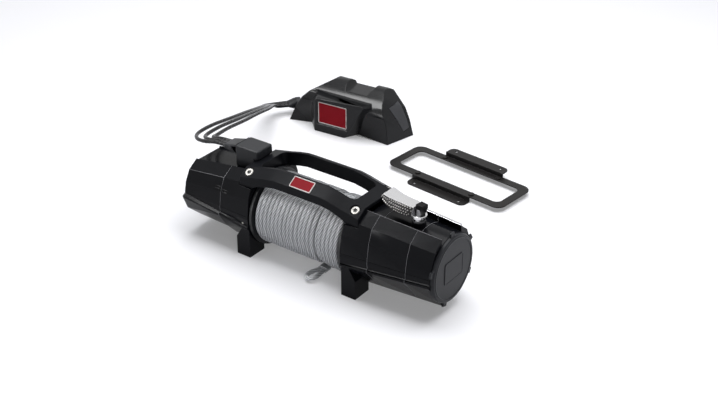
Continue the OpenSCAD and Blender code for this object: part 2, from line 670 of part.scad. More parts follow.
module lever_mark() color("#202124") translate([lever_x, -lever_y, lever_h + lever_t - mark_t]) rotate(45)
    translate([-mark_w / 2, -mark_w / 2, 0]) cube([mark_w, mark_w, mark_t]);
module lever_shaft() color("silver") translate([lever_x, -lever_y, 0]) {
    translate([0, 0, axis_h + sqrt(ring_r * ring_r - lever_y * lever_y) - pocket_depth + seat_gap])
        cylinder(h = lever_h + lever_t - axis_h - ring_r - 2 * mark_t - cut, r = lever_shaft_r, $fn = 48);
    translate([0, 0, boss_h + seat_gap]) cylinder(h = head_t, r = head_r, $fn = 48);
}

// Terminal boot on top of the motor end, with a tapering snout for the leads
boot_x = -192;
boot_y = -21;
boot_r = 6;
snout_len = 36;
snout_w = 34;
snout_h = 15;
snout_wall = 1.5;
stud_r = 4;
stud_len = 24;
// Height of the flat between the ribs, which carries the boot and its studs
function crown_h(x) = axis_h + section_at(x)[8];
stud_h = crown_h(boot_x + boot_w / 3 + stud_r) + run_gap;
lead_h = 186;
lead_gap = 9.5;
boot_mid_y = boot_y + boot_d / 2;
boot_top_share = .7;
snout_root_share = 1.4;
module boot_block() hull() {
    for (x = [boot_x + boot_r, boot_x + boot_w - boot_r], y = [boot_y + boot_r, boot_y + boot_d - boot_r])
        translate([x, y, tie_seat_h])
            cylinder(h = boot_h - tie_seat_h, r1 = boot_r, r2 = boot_r * boot_top_share, $fn = 24);
}
module boot_snout() hull() {
    translate([boot_x, boot_y + boot_r, lead_h - snout_h / 2])
        cube([boot_r, boot_d - 2 * boot_r, snout_h * snout_root_share]);
    translate([boot_x - snout_len, boot_mid_y - snout_w / 2, lead_h - lead_d / 2 - snout_wall])
        cube([leaf, snout_w, lead_d + 2 * snout_wall]);
}
module terminal_boot() color("#17181a") difference() {
    union() {
        boot_block();
        boot_snout();
    }
    translate([0, case_r, seat_gap]) rotate([90, 0, 0]) linear_extrude(2 * case_r)
        polygon([[boot_x - snout_len - cut, 0], [boot_x + boot_w + cut, 0],
            [boot_x + boot_w + cut, crown_h(boot_x + boot_w + cut)],
            [boot_x - snout_len - cut, crown_h(boot_x - snout_len - cut)]]);
    translate([-arch_half - seat_gap, -tie_half, tie_seat_h - cut])
        cube([arch_half, 2 * tie_half, tie_face_h(boot_x + boot_w) - tie_seat_h + cut + seat_gap]);
    for (i = [-1:1]) translate([boot_x + boot_w / 3, boot_mid_y + i * lead_gap, axis_h])
        cylinder(h = stud_h + stud_len + seat_gap - axis_h, r = stud_r + seat_gap, $fn = 24);
}
module terminal_studs() color("#b08d57") for (i = [-1:1])
    translate([boot_x + boot_w / 3, boot_mid_y + i * lead_gap, stud_h])
        cylinder(h = stud_len, r = stud_r, $fn = 24);

// Control pack: a front and a back outline joined, cut to an end-on profile, with a badge housing in front.
// Points are shares of the pack's width and height, or of its depth and height, from the footprint's middle.
pack_x = -311;
pack_y = 509;
pack_turn = 5.1;
slab_t = .1;
pack_back_shares = [[-.5, 0], [-.466, .24], [-.391, .434], [-.248, .7], [-.13, .9], [-.09, 1], [.31, 1],
    [.323, .93], [.366, .78], [.429, .6], [.469, .33], [.5, 0]];
pack_front_shares = [[-.42, 0], [-.366, .36], [-.31, .59], [-.236, .8], [-.124, 1], [.304, 1], [.32, .74],
    [.385, .575], [.42, 0]];
pack_side_shares = [[-.5, 0], [-.5, .53], [-.48, .6], [-.44, .67], [-.385, .74], [-.31, .81], [-.22, .87],
    [-.115, .925], [0, .965], [.13, .99], [.26, 1], [.39, .98], [.5, .93], [.5, 0]];
recess_shares = [[-.02, 1.1], [.025, .88], [.2, .88], [.245, 1.1]];
wing_plan_shares = [[-.42, -.5], [-.25, -.33], [.15, -.33], [.42, -.5], [.42, -1], [-.42, -1]];
wing_top_share = .58;
module pack_slab(shares, inset) rotate([90, 0, 0]) linear_extrude(slab_t)
    polygon([for (p = shares) [pack_w * p.x - sign(p.x) * inset, max(pack_h * p.y - inset, 0)]]);
module pack_prism(shares, grow) rotate([90, 0, 90]) translate([0, 0, -pack_w]) linear_extrude(2 * pack_w)
    polygon([for (p = shares) [pack_d * p.x + sign(p.x) * grow, pack_h * p.y + (p.y > .5 ? grow : -grow)]]);
module pack_body(inset) difference() {
    intersection() {
        hull() {
            translate([0, pack_d / 2, 0]) pack_slab(pack_back_shares, inset);
            translate([0, slab_t - pack_d / 2, 0]) pack_slab(pack_front_shares, inset);
        }
        rotate([90, 0, 90]) translate([0, 0, -pack_w]) linear_extrude(2 * pack_w)
            polygon([for (p = pack_side_shares) [pack_d * p.x - sign(p.x) * inset, max(pack_h * p.y - inset, 0)]]);
    }
    translate([0, pack_d, -inset]) rotate([90, 0, 0]) linear_extrude(2 * pack_d)
        polygon([for (p = recess_shares) [pack_w * p.x, pack_h * p.y]]);
    translate([0, inset, 0]) hull() {
        translate([0, 0, -cut]) linear_extrude(slab_t)
            polygon([for (p = wing_plan_shares) [pack_w * p.x, pack_d * p.y]]);
        translate([-pack_w / 2, -pack_d, pack_h * wing_top_share]) cube([pack_w, pack_d / 2, slab_t]);
    }
}
// Badge housing, wider where it meets the pack
brow_front_shares = [[-.161, 0], [-.165, .1], [-.155, .7], [-.14, .75], [.235, .81], [.247, .77],
    [.1, .03], [.09, 0]];
brow_back_shares = [[-.25, 0], [-.27, .5], [-.19, .8], [.265, .78], [.285, .68], [.15, 0]];
badge_shares = [[-.137, .68], [.112, .7], [.112, .18], [-.137, .18]];
badge_depth = 3;
brow_root = 14;
module brow() difference() {
    hull() {
        translate([0, brow_root - pack_d / 2, 0]) pack_slab(brow_back_shares, 0);
        translate([0, slab_t - pack_d / 2 - brow_out, 0]) pack_slab(brow_front_shares, 0);
    }
    translate([0, badge_depth - pack_d / 2 - brow_out, 0]) rotate([90, 0, 0]) linear_extrude(pack_d)
        polygon([for (p = badge_shares) [pack_w * p.x, pack_h * p.y]]);
}
panel_shares = [[-.12, .7], [.36, .74], [.4, .2], [.16, .16], [-.03, .5]];
panel_t = 2;
module in_pack() translate([pack_x, pack_y, 0]) rotate(pack_turn) children();
// Panels let into both ends of the cover
module pack_end_panels() color("#4a4d51") in_pack() difference() {
    intersection() {
        pack_body(0);
        pack_prism(panel_shares, 0);
    }
    pack_body(panel_t);
    grommet_hole();
}
grommet_share = .44;
grommet_r = 15;
grommet_h = 26;
grommet_out = 20;
grommet_in = 10;
// Way the leads run into the pack, as a turn from +X
lead_turn = 50;
module at_grommet()
    translate([-pack_w * grommet_share, 0, grommet_h]) rotate([0, 90, lead_turn - pack_turn]) children();
module grommet_hole() at_grommet() translate([0, 0, -2 * grommet_out])
    cylinder(h = 3 * grommet_out, r = grommet_r, $fn = 48);
module pack_cover() color("#2a2c2f") in_pack() difference() {
    union() {
        pack_body(0);
        brow();
    }
    translate([0, 0, -cut]) pack_body(pack_t);
    difference() {
        pack_prism(panel_shares, seat_gap);
        pack_body(panel_t);
    }
    grommet_hole();
}
module pack_base() color("#1b1c1e") in_pack() intersection() {
    pack_body(pack_t + 3 * seat_gap);
    translate([-pack_w, -pack_d, 0]) cube([2 * pack_w, 2 * pack_d, pack_base_t]);
}
contactor_shares = [.42, .5, .45];
module pack_contactor() color("#54575b") in_pack()
    translate([-pack_w * contactor_shares[0] / 2, -pack_d * contactor_shares[1] / 2, pack_base_t])
        cube([pack_w * contactor_shares[0], pack_d * contactor_shares[1], pack_h * contactor_shares[2]]);
module pack_grommet() color("#101112") in_pack() at_grommet()
    translate([0, 0, -grommet_out]) cylinder(h = grommet_out + grommet_in, r = grommet_r - seat_gap, $fn = 48);

// Mounting frame of the pack: a flat rectangular ring with two stepped flanges
frame_x = 49;
frame_y = 434;
frame_turn = -6;
frame_r = 20;
frame_hole_r = 14;
wing_r = 13;
wing_hole_r = 3.2;
wing_hole_x = 61;
wing_hole_share = .6;
frame_screw_r = 3.2;
frame_screw_h = 2;
frame_screw_x = 74;
frame_screw_y = 48.5;
module round_rect(w, d, r) {
    translate([-w / 2, -d / 2 + r]) square([w, d - 2 * r]);
    translate([-w / 2 + r, -d / 2]) square([w - 2 * r, d]);
    for (x = [-w / 2 + r, w / 2 - r], y = [-d / 2 + r, d / 2 - r]) translate([x, y]) circle(r, $fn = 48);
}
module in_frame() translate([frame_x, frame_y, 0]) rotate(frame_turn) children();
module mounting_frame() color("#2c2d30") in_frame() {
    translate([0, 0, frame_h - frame_t]) linear_extrude(frame_t) difference() {
        round_rect(frame_len, frame_d, frame_r);
        round_rect(frame_len - 2 * frame_rail, frame_d - 2 * frame_rail, frame_hole_r);
        for (x = [-frame_screw_x, frame_screw_x], y = [-1, 1])
            translate([x, y * frame_screw_y]) circle(frame_screw_r, $fn = 32);
    }
    // The front flange lies on the floor and the back one is stepped up
    translate([-wing_len / 2, -frame_d / 2 - frame_t, 0]) cube([wing_len, frame_t, frame_h]);
    translate([0, -frame_d / 2, 0]) wing();
    translate([-wing_len / 2, frame_d / 2 - frame_t, frame_h - frame_t])
        cube([wing_len, frame_t, frame_h]);
    translate([0, frame_d / 2 - frame_t, 2 * (frame_h - frame_t)]) mirror([0, 1, 0]) wing();
}
module wing() linear_extrude(frame_t) difference() {
    translate([0, -wing_d / 2]) union() {
        round_rect(wing_len, wing_d, wing_r);
        translate([-wing_len / 2, 0]) square([wing_len, wing_d / 2]);
    }
    for (x = [-wing_hole_x, wing_hole_x]) translate([x, -wing_d * wing_hole_share]) circle(wing_hole_r, $fn = 32);
}
module frame_screws() color("#0f1011") in_frame()
    for (x = [-frame_screw_x, frame_screw_x], y = [-1, 1])
        translate([x, y * frame_screw_y, frame_h - frame_t]) {
            cylinder(h = frame_t, r = frame_screw_r - run_gap, $fn = 32);
            translate([0, 0, frame_t]) cylinder(h = frame_screw_h, r = 2 * frame_screw_r, $fn = 32);
        }

// Rope's free end: out from under the drum, through a sleeve, and round an eye
// It passes clear of the wound rope's outer turns while the drum turns.
tail_route = [[98.8, 2, 5.6], [97.6, -6, 5.6], [93.5, -13, 6], [86, -17.5, 6.5], [77, -18, 6.6], [68, -16, 6.4],
    [60, -13.5, 6.2], [51, -13, 6.4], [43, -15.5, 7.2], [38.8, -20.5, 8.4], [38, -25.6, 9]];
eye_route = [[33.5, -40.4, 9], [33, -44, 9], [29.5, -51, 9], [26.5, -60, 9], [25.5, -68, 9], [27.5, -76, 9],
    [33, -81, 9], [39.5, -80, 9], [43.5, -73, 9], [44.5, -64, 9], [43.5, -53, 9], [42.6, -45, 9], [42.5, -40.4, 9]];
sleeve_r = 6;
sleeve_len = 14;
tail_last = tail_route[len(tail_route) - 1];
sleeve_place = [tail_last.x, (tail_last.y + eye_route[0].y) / 2, tail_last.z];
cord_sides = 8;
// Points between the route's points on a smooth curve
function smooth(p, k) = [for (i = [0:len(p) - 2], j = [0:k - 1]) let (t = j / k,
        a = p[max(i - 1, 0)], b = p[i], c = p[i + 1], d = p[min(i + 2, len(p) - 1)])
    b + t * ((c - a) / 2 + t * (a - 5 / 2 * b + 2 * c - d / 2 + t * (3 / 2 * (b - c) + (d - a) / 2)))];
function route(p, k) = concat(smooth(p, k), [p[len(p) - 1]]);
module rope_tail() color("#b9bbbd") {
    sweep(route(tail_route, 1), rope_r, cord_sides, [0, 0, 1]);
    sweep(route(eye_route, 1), rope_r, cord_sides, [0, 0, 1]);
}
module rope_sleeve() color("#8f9295") translate(sleeve_place) rotate([90, 0, 0])
    translate([0, 0, -sleeve_len / 2]) {
    for (x = [-rope_r, rope_r]) translate([x, 0, 0]) cylinder(h = sleeve_len, r = sleeve_r, $fn = 32);
    translate([-rope_r, -sleeve_r, 0]) cube([rope_d, 2 * sleeve_r, sleeve_len]);
}

// Leads from the boot to the control pack
function before_grommet(d) = [pack_x - pack_w * grommet_share * cos(pack_turn) - (grommet_out + d) * cos(lead_turn),
    pack_y - pack_w * grommet_share * sin(pack_turn) - (grommet_out + d) * sin(lead_turn), grommet_h];
lead_route = [[boot_x - snout_len - run_gap, boot_mid_y, lead_h], [-256, 4, 184], [-281, 5, 178], [-304, 17, 171],
    [-318, 39, 166], [-331, 92, 158], [-351, 170, 139], [-384, 254, 112], [-425, 344, 78], [-462, 404, 51],
    [-477, 431, 38], [-480, 453, 29], before_grommet(lead_d), before_grommet(seat_gap)];
// The other two leads lie beside it, a lead's spacing to the left or right of the way it runs
lead_spread_share = [1, 1, 1.3, 1.8, 2.1, 2, 1.8, 1.5, 1.3, 1.1, 1, 1, 1, 1];
function beside(p, k) = [for (i = [0:len(p) - 1]) let (d = p[min(i + 1, len(p) - 1)] - p[max(i - 1, 0)])
    p[i] + k * lead_gap * lead_spread_share[i] * unit([d.y, -d.x, 0])];
lead_a_route = beside(lead_route, -1);
lead_b_route = lead_route;
lead_c_route = beside(lead_route, 1);
module lead_a() color("#15161a") sweep(route(lead_a_route, 2), lead_d / 2, cord_sides, [0, 0, 1]);
module lead_b() color("#15161a") sweep(route(lead_b_route, 2), lead_d / 2, cord_sides, [0, 0, 1]);
module lead_c() color("#15161a") sweep(route(lead_c_route, 2), lead_d / 2, cord_sides, [0, 0, 1]);

motor_support();
gear_support();
motor_cover();
gear_case();
gear_end_case();
gear_end_cap();
tie_plate();
tie_plate_screws();
mounting_nuts();
drum();
rope_core();
rope_winding();
drum_bushing_motor();
drum_bushing_gear();
ring_gear();
carrier_3();
planet_3a();
planet_3b();
planet_3c();
sun_3();
carrier_2();
planet_2a();
planet_2b();
planet_2c();
sun_2();
carrier_1();
planet_1a();
planet_1b();
planet_1c();
sun_1();
drive_shaft();
tail_bearing();
motor_can();
field_poles();
front_bell();
rear_bell();
front_bearing();
rear_bearing();
armature_core();
armature_windings();
commutator();
brush_ring();
brushes();
terminal_boot();
terminal_studs();
clutch_lever();
lever_shaft();
lever_mark();
rope_tail();
rope_sleeve();
lead_a();
lead_b();
lead_c();
pack_cover();
pack_base();
pack_end_panels();
pack_contactor();
pack_grommet();
mounting_frame();
frame_screws();
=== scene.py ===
import math

import bmesh
import bpy
import numpy as np
from mathutils import Matrix, Vector


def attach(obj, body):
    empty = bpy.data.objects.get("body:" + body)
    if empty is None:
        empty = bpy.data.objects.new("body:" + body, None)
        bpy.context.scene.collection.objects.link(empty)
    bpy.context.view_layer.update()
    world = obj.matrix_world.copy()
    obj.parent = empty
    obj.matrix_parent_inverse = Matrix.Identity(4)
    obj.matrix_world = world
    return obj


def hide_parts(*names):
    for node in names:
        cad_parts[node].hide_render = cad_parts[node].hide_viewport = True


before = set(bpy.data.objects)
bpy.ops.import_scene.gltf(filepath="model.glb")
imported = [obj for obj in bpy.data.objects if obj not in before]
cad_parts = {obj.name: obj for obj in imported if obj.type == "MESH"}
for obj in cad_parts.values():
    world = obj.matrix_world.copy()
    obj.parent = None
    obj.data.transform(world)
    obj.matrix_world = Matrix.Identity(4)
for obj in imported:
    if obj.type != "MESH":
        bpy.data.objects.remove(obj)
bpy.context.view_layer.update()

# Camera: the photograph's three-quarter view from the front and the gear end, through a long lens
# that looks down at about 29 degrees.
aim = Vector((0.03408, 0.08591, 0.1))
away = Vector((0.5120, -0.7046, 0.4914)).normalized()
view_distance, focal_length = 2.56765, 65.18
lens = bpy.data.cameras.new("view_camera")
lens.lens = focal_length
lens.clip_start, lens.clip_end = 0.1, 30.0
camera = bpy.data.objects.new("view_camera", lens)
camera.location = aim + away * view_distance
camera.rotation_euler = away.to_track_quat("Z", "Y").to_euler()
bpy.context.scene.collection.objects.link(camera)
bpy.context.scene.camera = camera


# Housings: die-cast aluminium supports, cover and cases in satin black powder coat, bolted end to
# end. A lip with a sloping top runs along both sides; it draws in and rises toward each end.
class Value:
    """A shader socket that takes arithmetic; node() adds any other node to its tree."""

    def __init__(self, tree, socket=None):
        self.tree, self.socket = tree, socket

    def node(self, kind, settings=None, sockets=None, out=0):
        made = self.tree.nodes.new("ShaderNode" + kind)
        for key, given in (settings or {}).items():
            setattr(made, key, given)
        for key, given in (sockets or {}).items():
            if isinstance(given, Value):
                self.tree.links.new(given.socket, made.inputs[key])
            else:
                made.inputs[key].default_value = given
        return Value(self.tree, made.outputs[out]) if made.outputs else None

    def sum(self, operation, *terms):
        return self.node("Math", {"operation": operation}, dict(enumerate(terms)))

    def __add__(self, other):
        return self.sum("ADD", self, other)

    def __sub__(self, other):
        return self.sum("SUBTRACT", self, other)

    def __mul__(self, other):
        return self.sum("MULTIPLY", self, other)

    def __rsub__(self, other):
        return self.sum("SUBTRACT", other, self)

    __radd__, __rmul__ = __add__, __mul__

    def wave(self):
        """1 on the crests and 0 in the valleys of a wave, one to each unit."""
        return self.sum("SINE", self * (2 * math.pi)) * 0.5 + 0.5

    def between(self, low, high, to_low=0.0, to_high=1.0):
        """The value's place from low to high, as a value from to_low to to_high."""
        return self.node("MapRange", {}, {0: self, 1: low, 2: high, 3: to_low, 4: to_high})

    def tint(self, dark, light):
        """A colour from dark at 0 to light at 1."""
        return self.node("Mix", {"data_type": "RGBA"}, {0: self, 6: (*dark, 1), 7: (*light, 1)}, 2)


def new_finish(name):
    material = bpy.data.materials.new(name)
    material.use_nodes = True
    material.node_tree.nodes.clear()
    return material, Value(material.node_tree)


def surface(material, sockets):
    """Closes a material with one Principled shader, whose sockets take values or links."""
    start = Value(material.node_tree)
    shader = start.node("BsdfPrincipled", {}, sockets)
    start.node("OutputMaterial", {}, {"Surface": shader})
    return material


def coat(name, colour, rough, grain=900.0, depth=0.00005, patch=0.2, edge=0.0, gloss=0.3, metal=0.0):
    """Paint, plastic, rubber or bare metal: a fine grain, slow changes of shade and gloss, rounded
    edges, and painted light: what faces up a little lighter, what faces down a little darker."""
    material, start = new_finish(name)
    place = start.node("TexCoord", out="Object")
    facing = start.node("SeparateXYZ", {}, {0: start.node("NewGeometry", out="Normal")}, 2)
    fine = start.node("TexNoise", {}, {"Vector": place, "Scale": grain, "Detail": 2.0})
    slow = start.node("TexNoise", {}, {"Vector": place, "Scale": 14.0, "Detail": 3.0})
    # painted light: facing lightens what faces up and darkens what faces down
    tone_and_painted_light = (slow * 0.6 + fine * 0.3 + facing * 0.08).between(0.25, 0.75)
    bump = {"Height": fine, "Distance": depth}
    if edge:
        bump["Normal"] = start.node("Bevel", {"samples": 6}, {"Radius": edge})
    dark, light = [c * (1 - patch) for c in colour], [c * (1 + patch) for c in colour]
    return surface(material, {
        "Base Color": tone_and_painted_light.tint(dark, light),
        "Roughness": rough + (slow - 0.5) * 0.12 + (fine - 0.5) * 0.1,
        "Normal": start.node("Bump", {}, bump),
        "Specular IOR Level": gloss,
        "Metallic": metal,
    })


def opened(node):
    """A copy of a CAD solid's mesh, open for edits, with the corners of its faces joined."""
    work = bmesh.new()
    work.from_mesh(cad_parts[node].data)
    bmesh.ops.remove_doubles(work, verts=work.verts, dist=0.00002)
    return work


def round_edges(made, width, steps, above=30.0, clamp=True):
    """Rounds every edge that turns by more than above degrees."""
    rounding = made.modifiers.new("rounding", "BEVEL")
    rounding.width, rounding.segments, rounding.harden_normals = width, steps, True
    rounding.limit_method, rounding.angle_limit = "ANGLE", math.radians(above)
    rounding.use_clamp_overlap = clamp


def rounded(name, node, finish, width, steps, sharp=26.0, reshape=None, clamp=False):
    """A copy of a CAD solid with its flat faces joined and its sharp edges rounded. reshape may
    move some of its corners first."""
    work = opened(node)
    bmesh.ops.dissolve_limit(work, angle_limit=math.radians(0.5), verts=work.verts[:],
                             edges=work.edges[:])
    if reshape:
        reshape(work)
    mesh = bpy.data.meshes.new(name)
    work.to_mesh(mesh)
    work.free()
    mesh.polygons.foreach_set("use_smooth", [True] * len(mesh.polygons))
    mesh.set_sharp_from_angle(angle=math.radians(sharp))
    mesh.materials.clear()
    mesh.materials.append(finish)
    made = bpy.data.objects.new(name, mesh)
    bpy.context.scene.collection.objects.link(made)
    round_edges(made, width, steps, above=34.0, clamp=clamp)
    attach(made, "root")
    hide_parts(node)


lip_start, lip_reach, lip_height = 0.1125, 0.084, 0.074
motor_lip_way, gear_lip_way = (0.0118, 0.0942), (0.0629, 0.0731)
lip_drop, lip_near = 0.0034, 0.0006


def slant_lip(work):
    """Lowers the outer corners of the lip's top, wherever one lies on the lip's line."""
    for vertex in work.verts:
        x, y, z = vertex.co
        along = abs(x) - lip_start
        narrower, higher = motor_lip_way if x < 0 else gear_lip_way
        off_side = abs(y) - lip_reach + narrower * along
        off_top = z - lip_height - higher * along
        if abs(off_side) < lip_near and abs(off_top) < lip_near:
            vertex.co.z -= lip_drop


housing_black = coat("housing_black", (0.004, 0.0043, 0.0058), 0.24, grain=1300.0, depth=0.00003,
                     gloss=0.08)
for node in ("motor_support", "motor_cover", "gear_support", "gear_case", "gear_end_case"):
    rounded(node + "_casting", node, housing_black, width=0.0005, steps=2, sharp=19.0,
            reshape=slant_lip, clamp=node == "motor_cover")


# Seams: where two castings are bolted end to end, a fine lighter bead runs all round the flange's
# edge. Its light grey is a painted highlight, for the light that the edge catches.
def span(node):
    """The lowest and the highest corner of a CAD solid."""
    points = [vertex.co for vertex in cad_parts[node].data.vertices]
    return [Vector([pick(point[k] for point in points) for k in range(3)]) for pick in (min, max)]


# painted highlight: this light grey on the seam and crease beads stands for edges catching light
edge_painted_highlight = coat("edge_painted_highlight", (0.17, 0.17, 0.18), 0.35, grain=900.0)
bead_r, bead_sides, bead_proud = 0.0004, 6, 0.00005
motor_seam_x, gear_seam_x = span("motor_cover")[1].x, span("gear_case")[0].x
end_seam_x = span("gear_end_case")[0].x
drum_low, drum_high = span("drum")
drum_axis = (drum_low.z + drum_high.z) / 2


def show(name, points, faces, uvs=None):
    """A new mesh object at the origin, smooth, with one UV for each face corner where given."""
    mesh = bpy.data.meshes.new(name)
    mesh.from_pydata([tuple(p) for p in points], [], faces)
    if uvs is not None:
        layer = mesh.uv_layers.new(name="UVMap")
        layer.data.foreach_set("uv", np.array(uvs, float).ravel())
    mesh.polygons.foreach_set("use_smooth", [True] * len(faces))
    mesh.update()
    made = bpy.data.objects.new(name, mesh)
    bpy.context.scene.collection.objects.link(made)
    return made


def line_length(points):
    return sum((Vector(b) - Vector(a)).length for a, b in zip(points, points[1:]))


def ring_faces(rings, sides, closed=False):
    """Faces over rings of points: quads from ring to ring, and a cap at each end unless closed."""
    faces = []
    for i in range(rings if closed else rings - 1):
        following = (i + 1) % rings
        for k in range(sides):
            j = (k + 1) % sides
            faces.append((i * sides + k, i * sides + j, following * sides + j, following * sides + k))
    if not closed:
        faces.append(tuple(range(sides - 1, -1, -1)))
        faces.append(tuple((rings - 1) * sides + k for k in range(sides)))
    return faces


def face_out(made):
    """Turns every face of a closed mesh outward."""
    work = bmesh.new()
    work.from_mesh(made.data)
    bmesh.ops.recalc_face_normals(work, faces=work.faces)
    work.to_mesh(made.data)
    work.free()


def end_outline(node, x):
    """The points round a housing's flat end at x, in order."""
    work = opened(node)
    flat = {face for face in work.faces
            if abs(face.normal.x) > 0.99 and abs(face.calc_center_median().x - x) < 0.0002}
    rim = [edge for edge in work.edges if sum(face in flat for face in edge.link_faces) == 1]
    loops = []
    while rim:
        joined = [rim.pop()]
        loop = list(joined[0].verts)
        while joined:
            joined = [edge for edge in rim if loop[-1] in edge.verts][:1]
            for edge in joined:
                loop.append(edge.other_vert(loop[-1]))
                rim.remove(edge)
        loops.append([vertex.co.copy() for vertex in loop])
    work.free()
    outline = max(loops, key=line_length)
    if (outline[0] - outline[-1]).length < 0.0001:
        outline.pop()
    return outline


def seam_bead(name, node, x):
    """A thin bead that follows a housing's outline at its flat end."""
    middle, forward = Vector((x, 0, drum_axis)), Vector((1, 0, 0))
    outline = [point + (point - middle).normalized() * bead_proud for point in end_outline(node, x)]
    count = len(outline)
    verts = []
    for i, point in enumerate(outline):
        out = (outline[(i + 1) % count] - outline[i - 1]).normalized().cross(forward)
        for k in range(bead_sides):
            angle = 2 * math.pi * k / bead_sides
            verts.append(point + bead_r * (out * math.cos(angle) + forward * math.sin(angle)))
    made = show(name, verts, ring_faces(count, bead_sides, closed=True))
    face_out(made)
    made.data.materials.append(edge_painted_highlight)
    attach(made, "root")


seam_bead("motor_seam", "motor_cover", motor_seam_x)
seam_bead("gear_seam", "gear_case", gear_seam_x)
seam_bead("end_seam", "gear_end_case", end_seam_x)


# Front creases: the edge where the castings' upper front facets meet. A thin bead in the same
# light grey lies along it, a painted highlight that shows as a thin light line.
def swept(name, points, radius, sides, across=(0, 0, 1), turn=0.0, lobes=0, lobe_depth=0.0):
    """A closed tube along points. turn is the twist in turns a metre; lobes are strands round it.
    Its UV runs round the tube and along it in metres."""
    points = [Vector(p) for p in points]
    across = Vector(across)
    count = len(points)
    verts, along = [], [0.0]
    for i, point in enumerate(points):
        if i:
            along.append(along[-1] + (point - points[i - 1]).length)
        way = (points[min(i + 1, count - 1)] - points[max(i - 1, 0)]).normalized()
        side = across.cross(way).normalized()
        up = way.cross(side)
        for k in range(sides):
            share = k / sides
            angle = 2 * math.pi * (share + turn * along[i])
            valley = 1 - abs(math.sin(math.pi * lobes * share))
            reach = radius - radius * lobe_depth * valley ** 1.5
            verts.append(point + reach * (side * math.cos(angle) + up * math.sin(angle)))
    uvs = []
    for i in range(count - 1):
        low, high = along[i], along[i + 1]
        for k in range(sides):
            near, far = k / sides, (k + 1) / sides
            uvs += [(near, low), (far, low), (far, high), (near, high)]
    uvs += [(0.5, 0.0)] * sides + [(0.5, along[-1])] * sides
    return show(name, verts, ring_faces(count, sides), uvs)


gear_crease_line = [(0.1425, -0.037, 0.1745), (0.171, -0.0361, 0.1728), (0.252, -0.0336, 0.1681),
                    (0.3022, -0.032, 0.1652)]
motor_crease_line = [(-0.1865, -0.0625, 0.1499), (-0.283, -0.058, 0.1363)]
crease_r = 0.0005
for name, line in (("front_crease", gear_crease_line), ("motor_crease", motor_crease_line)):
    crease = swept(name, line, crease_r, sides=8)
    crease.data.materials.append(edge_painted_highlight)
    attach(crease, "root")

# Back rail: a bare bright strip of aluminium let into the gear side's upper back crease, over the
# case and the end case. Its brightness is a painted highlight, for the light the crease's top catches.
rail_profile = [(-0.0012, 0.0008), (0.0048, 0.0008), (0.0048, -0.0036), (-0.0012, -0.0006)]
rail_line = [(x, -y, z) for x, y, z in gear_crease_line[1:]]
verts = [(x, y + out, z + rise) for x, y, z in rail_line for out, rise in rail_profile]
rail = show("back_rail", verts, ring_faces(len(rail_line), len(rail_profile)))
face_out(rail)
# painted highlight: a light bare metal that stands for the crease's highlight
rail_painted_highlight = coat("rail_painted_highlight", (0.5, 0.5, 0.52), 0.22, grain=1300.0, depth=0.00001, metal=1.0)
rail.data.materials.append(rail_painted_highlight)
round_edges(rail, width=0.0006, steps=2)
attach(rail, "root")


# Case screws: small zinc-plated steel screws with socket heads, one on each side of the motor's
# support and one on each side under the gear case, threaded into the castings.
def settling_tree():
    """A tree that puts a copy of a piece on each spot, its own up along the way kept there."""
    tree = bpy.data.node_groups.new("set_in_place", "GeometryNodeTree")
    for label, kind in (("Spots", "Geometry"), ("Piece", "Object"), ("Size", "Float"),
                        ("Finish", "Material")):
        tree.interface.new_socket(name=label, in_out="INPUT", socket_type="NodeSocket" + kind)
    tree.interface.new_socket(name="Pieces", in_out="OUTPUT", socket_type="NodeSocketGeometry")
    add = tree.nodes.new
    given, out = add("NodeGroupInput"), add("NodeGroupOutput")
    spots, piece = add("GeometryNodeMeshToPoints"), add("GeometryNodeObjectInfo")
    up, turn = add("GeometryNodeInputNamedAttribute"), add("FunctionNodeAlignRotationToVector")
    up.data_type, turn.axis = "FLOAT_VECTOR", "Z"
    up.inputs["Name"].default_value = "up"
    each, whole = add("GeometryNodeInstanceOnPoints"), add("GeometryNodeRealizeInstances")
    paint = add("GeometryNodeSetMaterial")
    for source, output, target, entry in (
        (given, "Spots", spots, "Mesh"),
        (given, "Piece", piece, "Object"),
        (up, "Attribute", turn, "Vector"),
        (spots, "Points", each, "Points"),
        (piece, "Geometry", each, "Instance"),
        (turn, "Rotation", each, "Rotation"),
        (given, "Size", each, "Scale"),
        (each, "Instances", whole, "Geometry"),
        (whole, "Geometry", paint, "Geometry"),
        (given, "Finish", paint, "Material"),
        (paint, "Geometry", out, "Pieces"),
    ):
        tree.links.new(source.outputs[output], target.inputs[entry])
    return tree


set_in_place = settling_tree()


def settled(name, piece, spots, finish, size=1.0, body="root"):
    """One mesh with a copy of piece at each (point, up) of spots; piece itself is used up."""
    mesh = bpy.data.meshes.new(name)
    mesh.from_pydata([tuple(point) for point, _ in spots], [], [])
    ups = mesh.attributes.new("up", "FLOAT_VECTOR", "POINT")
    ups.data.foreach_set("vector", np.array([tuple(up) for _, up in spots], float).ravel())
    made = bpy.data.objects.new(name, mesh)
    bpy.context.scene.collection.objects.link(made)
    maker = made.modifiers.new("settling", "NODES")
    maker.node_group = set_in_place
    given = {"Piece": piece, "Size": size, "Finish": finish}
    for item in set_in_place.interface.items_tree:
        if item.in_out == "INPUT" and item.name in given:
            maker[item.identifier] = given[item.name]
    bpy.context.view_layer.update()
    graph = bpy.context.evaluated_depsgraph_get()
    whole = bpy.data.meshes.new_from_object(made.evaluated_get(graph))
    made.modifiers.remove(maker)
    made.data = whole
    whole.name = name
    bpy.data.objects.remove(piece)
    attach(made, body)
    return made


def turned(name, rings, sides):
    """A closed form from rings about Z, each a height and a radius, or a radius for every side."""
    verts = []
    for height, reach in rings:
        for k in range(sides):
            r = reach[k] if isinstance(reach, list) else reach
            angle = 2 * math.pi * k / sides
            verts.append((r * math.cos(angle), r * math.sin(angle), height))
    made = show(name, verts, ring_faces(len(rings), sides))
    made.data.set_sharp_from_angle(angle=math.radians(32))
    return made


